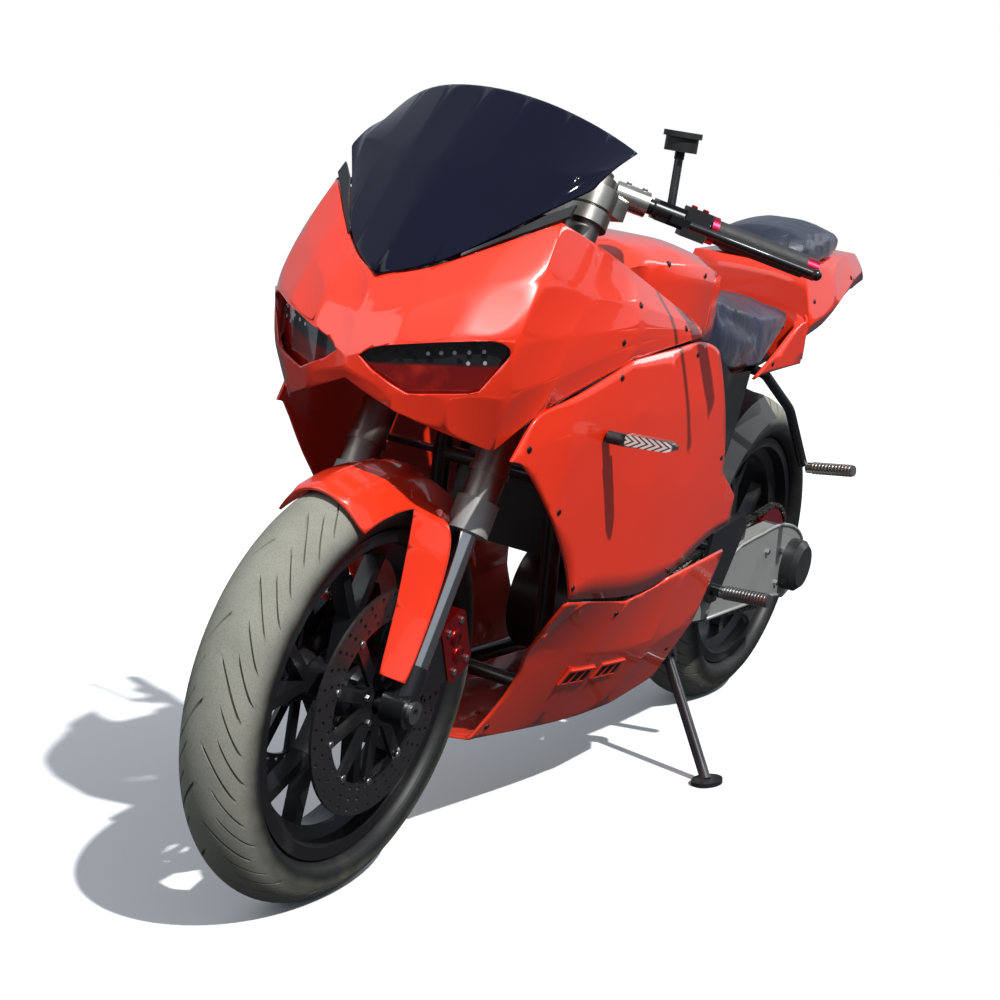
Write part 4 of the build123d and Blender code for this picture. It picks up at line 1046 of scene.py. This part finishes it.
class MOTO_OT_fittings(bpy.types.Operator):
    """Set the bolts, the scoops, the lamps' diodes and the small fittings"""
    bl_idname = "moto.fittings"
    bl_label = "Fittings"

    def execute(self, context):
        black = satin_black("black_fastener", (0.02, 0.02, 0.022), 0.35, 500, 0.6)
        zinc = plain_steel("zinc_screws", (0.52, 0.52, 0.5), 0.26)
        shell = {o["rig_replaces"][0]: o for o in bpy.data.objects if o.get("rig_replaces")}
        for node, spots in PANEL_SCREWS:
            places = []
            for side, word in SIDES:
                piece = shell.get(node) or shell.get(node + word)
                places += seats_on(piece, [(side * 150, y, z) for y, z in spots], (side, 0, 0), (0, 1, 0))
            repeat(node + "_screws", block(4.6, -1.5, 1.5, 10, 0.7), places, "chassis", black, True)
        # Fork and yoke screws ride with the steering
        up, ahead = tuple(FORK_UP), tuple(FORK_FORWARD)
        tops = [FRONT_AXLE * 1000 + FORK_UP * t for t in (707, 717)]
        lows = [FRONT_AXLE * 1000 + FORK_UP * t + FORK_FORWARD * 30 for t in (440, 455)]
        screws = both_sides([((118, at.y + 6.8 * ahead[1], at.z), (1, 0, 0), up) for at in tops])
        screws += both_sides([((104, at.y, at.z), ahead, up) for at in lows])
        repeat("yoke_screws", block(4.2, -3, 4.0, 6, 0.6), screws, "steering", zinc)
        along = Vector((0, math.cos(CALIPER_TURN), math.sin(CALIPER_TURN)))
        across = Vector((0, -math.sin(CALIPER_TURN), math.cos(CALIPER_TURN)))
        face = Vector((CALIPER_FACE_X, 0, 0)) + FRONT_AXLE * 1000 + along * CALIPER_R
        for name, part, spots, finish, slot, smooth in (
                ("bolts", (5.2, -1, 3.8, 6, 0.7), [(-16, -34), (-16, 34), (16, -34), (16, 34)], zinc, "steel",
                 False),
                ("pistons", (12.5, -1, 2.6, 20, 1.6), [(0, -15), (0, 15)],
                 anodised("caliper_red", (0.45, 0.01, 0.012)), "red_anodised", True)):
            places = [(tuple(face + along * a + across * b), (1, 0, 0), tuple(along)) for a, b in spots]
            places = both_sides(places)
            repeat("front_caliper_" + name, block(*part), places, "steering", finish, smooth)
        arm = both_sides([((146, y, z), (1, 0, 0), (0, 1, 0)) for y, z in SWINGARM_BOLTS])
        repeat("swingarm_bolts", block(7, -2, 5.5, 6, 0.9), arm, "chassis", zinc)
        # The lighter flange along the edge of the swingarm's arm
        cast = grey_casting()
        for side, word in SIDES:
            edge = [(side * 146, y, z) for y, z in SWINGARM_EDGE + SWINGARM_EDGE[:1]]
            rib = tube_mesh("swingarm_flange" + word, edge, [3.2] * len(edge), 8, 3)
            finish_piece("swingarm_flange" + word, rib, "chassis", [cast])
        # The black panel behind the side fairing, over the frame
        moulded = satin_black("frame_panel_black", (0.013, 0.013, 0.014), 0.45, 500)
        for side, word in SIDES:
            panel = slab("frame_panel" + word, FRAME_PANEL, side * 113, side * 117)
            finish_piece("frame_panel" + word, panel, "chassis", [moulded], False)
        # Ribbed treads of the footpegs
        for name, start, end, radius, count, finish, slot in (
                ("rider_peg_knurls", (186, 900.5, 326.3), (262, 889, 335.4), 11, 14, zinc, "steel"),
                ("passenger_peg_ribs", (200, 1202.5, 519.2), (272, 1187.3, 532.8), 10, 12, bright_alloy(),
                 "silver_cast")):
            a, b = Vector(start), Vector(end)
            way = tuple((b - a).normalized())
            rings = both_sides([(tuple(a.lerp(b, k / (count - 1))), way, (0, 0, 1)) for k in range(count)])
            repeat(name, block(radius + 1.3, -1.4, 1.4, 16), rings, "chassis", finish)
        # Small bright diodes behind the lamps' glass
        glow = Finish("lamp_diodes", Roughness=0.2, Metallic=0.6)
        glow.set("Base Color", glow.mix(glow.noise(50), (0.9, 0.9, 0.95), (0.7, 0.7, 0.72)))
        spots = [(side * x, -40, z) for side in (1, -1) for x, z in LAMP_DIODES]
        places = seats_on(frame["nodes"]["headlights"], spots, (0, -1, 0), (1, 0, 0))
        repeat("lamp_diodes", block(2.6, -0.6, 0.4, 10), places, "chassis", glow.material)
        # Two scoops in each belly panel: a dark sheet of painted shade where the opening is, and a painted lip
        # with two fins
        dark = satin_black("scoop_painted_shade", (0.005, 0.003, 0.003), 0.6, 300)
        paint = bpy.data.materials["red_gloss_paint"]
        for side, word in SIDES:
            spots = [(side * 150, y, 258) for y in (434, 526)]
            places = seats_on(shell["belly_fairing" + word], spots, (side, 0, -0.55), (0, 1, 0))
            repeat("belly_scoops" + word, bars(SCOOP_SHADE_SHEET), places, "chassis", dark)
            repeat("belly_scoop_lips" + word, bars(SCOOP_LIP), places, "chassis", paint)
        # Switch buttons and the clamp screws along each bar
        start, tip = Vector((112, 360, 976)), Vector((362, 518, 914))
        way = (tip - start).normalized()
        ahead = Vector((way.y, -way.x, 0)).normalized()
        above = ahead.cross(way)
        for name, part, finish, slot, spots in (
                ("switch_buttons", (4.6, -1, 3.4, 12, 1.0), anodised("switch_red", (0.7, 0.02, 0.02)),
                 "red_anodised", [(108, 0, 20.2), (124, 6, 20.2)]),
                ("switch_rockers", (3.6, -1, 2.6, 8, 0.8),
                 satin_black("rocker_grey", (0.05, 0.05, 0.052), 0.4), "black_plastic",
                 [(112, -20.2, 2), (122, -20.2, 8)]),
                ("clamp_screws", (4.0, -1, 3.2, 6, 0.6), zinc, "steel", [(10, 0, 17.6), (34, 0, 17.6)])):
            # A spot well behind the bar faces the rider, and the others face up
            places = [(tuple(start + way * far + ahead * forward + above * high),
                       tuple(-ahead if forward < -10 else above), tuple(way)) for far, forward, high in spots]
            repeat(name, block(*part), both_sides(places), "steering", finish)
        return {"FINISHED"}


class MOTO_OT_stage(bpy.types.Operator):
    """Set up the floor, the soft lights and the camera at the photograph's angle"""
    bl_idname = "moto.stage"
    bl_label = "Stage"

    def execute(self, context):
        stage = context.scene.moto_stage
        camera = bpy.data.objects.new("camera", bpy.data.cameras.new("camera"))
        context.scene.collection.objects.link(camera)
        camera.data.lens = stage.camera_lens
        camera.data.sensor_width = 36
        turn, dip = stage.camera_turn, stage.camera_dip
        aim = Vector((-math.sin(turn) * math.cos(dip), math.cos(turn) * math.cos(dip), -math.sin(dip)))
        pose = aim.to_track_quat("-Z", "Y") @ Matrix.Rotation(stage.camera_roll, 3, "Z").to_quaternion()
        camera.rotation_euler = pose.to_euler()
        camera.location = stage.camera_place
        context.scene.camera = camera
        half = stage.floor_span / 2
        mesh = bpy.data.meshes.new("floor")
        corners = [(-half, -half, 0), (half, -half, 0), (half, half, 0), (-half, half, 0)]
        mesh.from_pydata(corners, [], [(0, 1, 2, 3)])
        floor = bpy.data.objects.new("floor", mesh)
        context.scene.collection.objects.link(floor)
        mesh.materials.append(pale_ground("pale_floor", stage.floor_colour))
        world = bpy.data.worlds.new("studio")
        context.scene.world = world
        world.use_nodes = True
        nodes, links = world.node_tree.nodes, world.node_tree.links
        nodes.clear()
        paths = nodes.new("ShaderNodeLightPath")
        mix = nodes.new("ShaderNodeMixShader")
        links.new(paths.outputs["Is Camera Ray"], mix.inputs[0])
        # The machine is lit by a soft pale blue sky, and the camera sees plain white
        for k, colour, strength in ((1, (0.80, 0.89, 1.0, 1), stage.sky_strength), (2, (1, 1, 1, 1), 1.0)):
            sky = nodes.new("ShaderNodeBackground")
            sky.inputs[0].default_value = colour
            sky.inputs[1].default_value = strength
            links.new(sky.outputs[0], mix.inputs[k])
        output = nodes.new("ShaderNodeOutputWorld")
        links.new(mix.outputs[0], output.inputs[0])
        sun = bpy.data.lights.new("sun", "SUN")
        sun.energy = stage.sun_strength
        sun.angle = math.radians(1.2)
        sun_lamp = bpy.data.objects.new("sun", sun)
        sun_lamp.rotation_euler = (-Vector(stage.sun_from)).to_track_quat("-Z", "Y").to_euler()
        context.scene.collection.objects.link(sun_lamp)
        # Name, place, aim, size and power of each soft lamp
        lamps = [("front_fill", (-1.2, -3.4, 2.4), (0, -0.2, 0.5), 2.4, 16),
                 ("rear_rim", (1.8, 3.0, 2.4), (0, 0.3, 0.5), 1.6, 24)]
        for name, place, target, size, power in lamps:
            data = bpy.data.lights.new(name, "AREA")
            data.shape = "DISK"
            data.size = size
            data.energy = power
            lamp = bpy.data.objects.new(name, data)
            lamp.location = place
            lamp.rotation_euler = (Vector(target) - Vector(place)).to_track_quat("-Z", "Y").to_euler()
            context.scene.collection.objects.link(lamp)
        context.scene.view_settings.view_transform = "Standard"
        return {"FINISHED"}


def pale_ground(name, colour):
    """A floor that is pale to the camera, and dark in what it lends to the machine, as tarmac's is."""
    f = Finish(name, Roughness=0.9, Specular_IOR_Level=0.0)
    f.set("Base Color", f.mix(f.noise(40, 5), tuple(colour), tuple(c * 0.98 for c in colour)))
    dark = f.add("ShaderNodeBsdfDiffuse", {}, {"Color": (0.05, 0.05, 0.055)})
    seen = f.add("ShaderNodeLightPath").out("Is Camera Ray")
    blend = f.add("ShaderNodeMixShader", {}, {0: seen, 1: dark.out(0), 2: f.surface.out(0)})
    f.feed(f.output.node.inputs[0], blend.out(0))
    return f.material


CLASSES = [MotorcycleLook, MotorcycleStage, MOTO_OT_finishes, MOTO_OT_wheels, MOTO_OT_soft, MOTO_OT_fittings,
           MOTO_OT_stage]


class MOTO_PT_panel(bpy.types.Panel):
    """Lists the motorcycle's settings and the steps that dress it"""
    bl_idname = "MOTO_PT_panel"
    bl_label = "Motorcycle"
    bl_space_type = "VIEW_3D"
    bl_region_type = "UI"
    bl_category = "Motorcycle"

    def draw(self, context):
        layout = self.layout
        for group in (context.scene.moto_look, context.scene.moto_stage):
            for name in group.__annotations__:
                layout.prop(group, name)
        for step in STEPS:
            layout.operator(step)


STEPS = ["moto.finishes", "moto.wheels", "moto.soft", "moto.fittings", "moto.stage"]


def register():
    for kind in CLASSES + [MOTO_PT_panel]:
        bpy.utils.register_class(kind)
    bpy.types.Scene.moto_look = bpy.props.PointerProperty(type=MotorcycleLook)
    bpy.types.Scene.moto_stage = bpy.props.PointerProperty(type=MotorcycleStage)


def unregister():
    del bpy.types.Scene.moto_stage
    del bpy.types.Scene.moto_look
    for kind in reversed(CLASSES + [MOTO_PT_panel]):
        bpy.utils.unregister_class(kind)


def main():
    register()
    for step in STEPS:
        group, name = step.split(".")
        getattr(getattr(bpy.ops, group), name)()


if __name__ == "__main__":
    main()
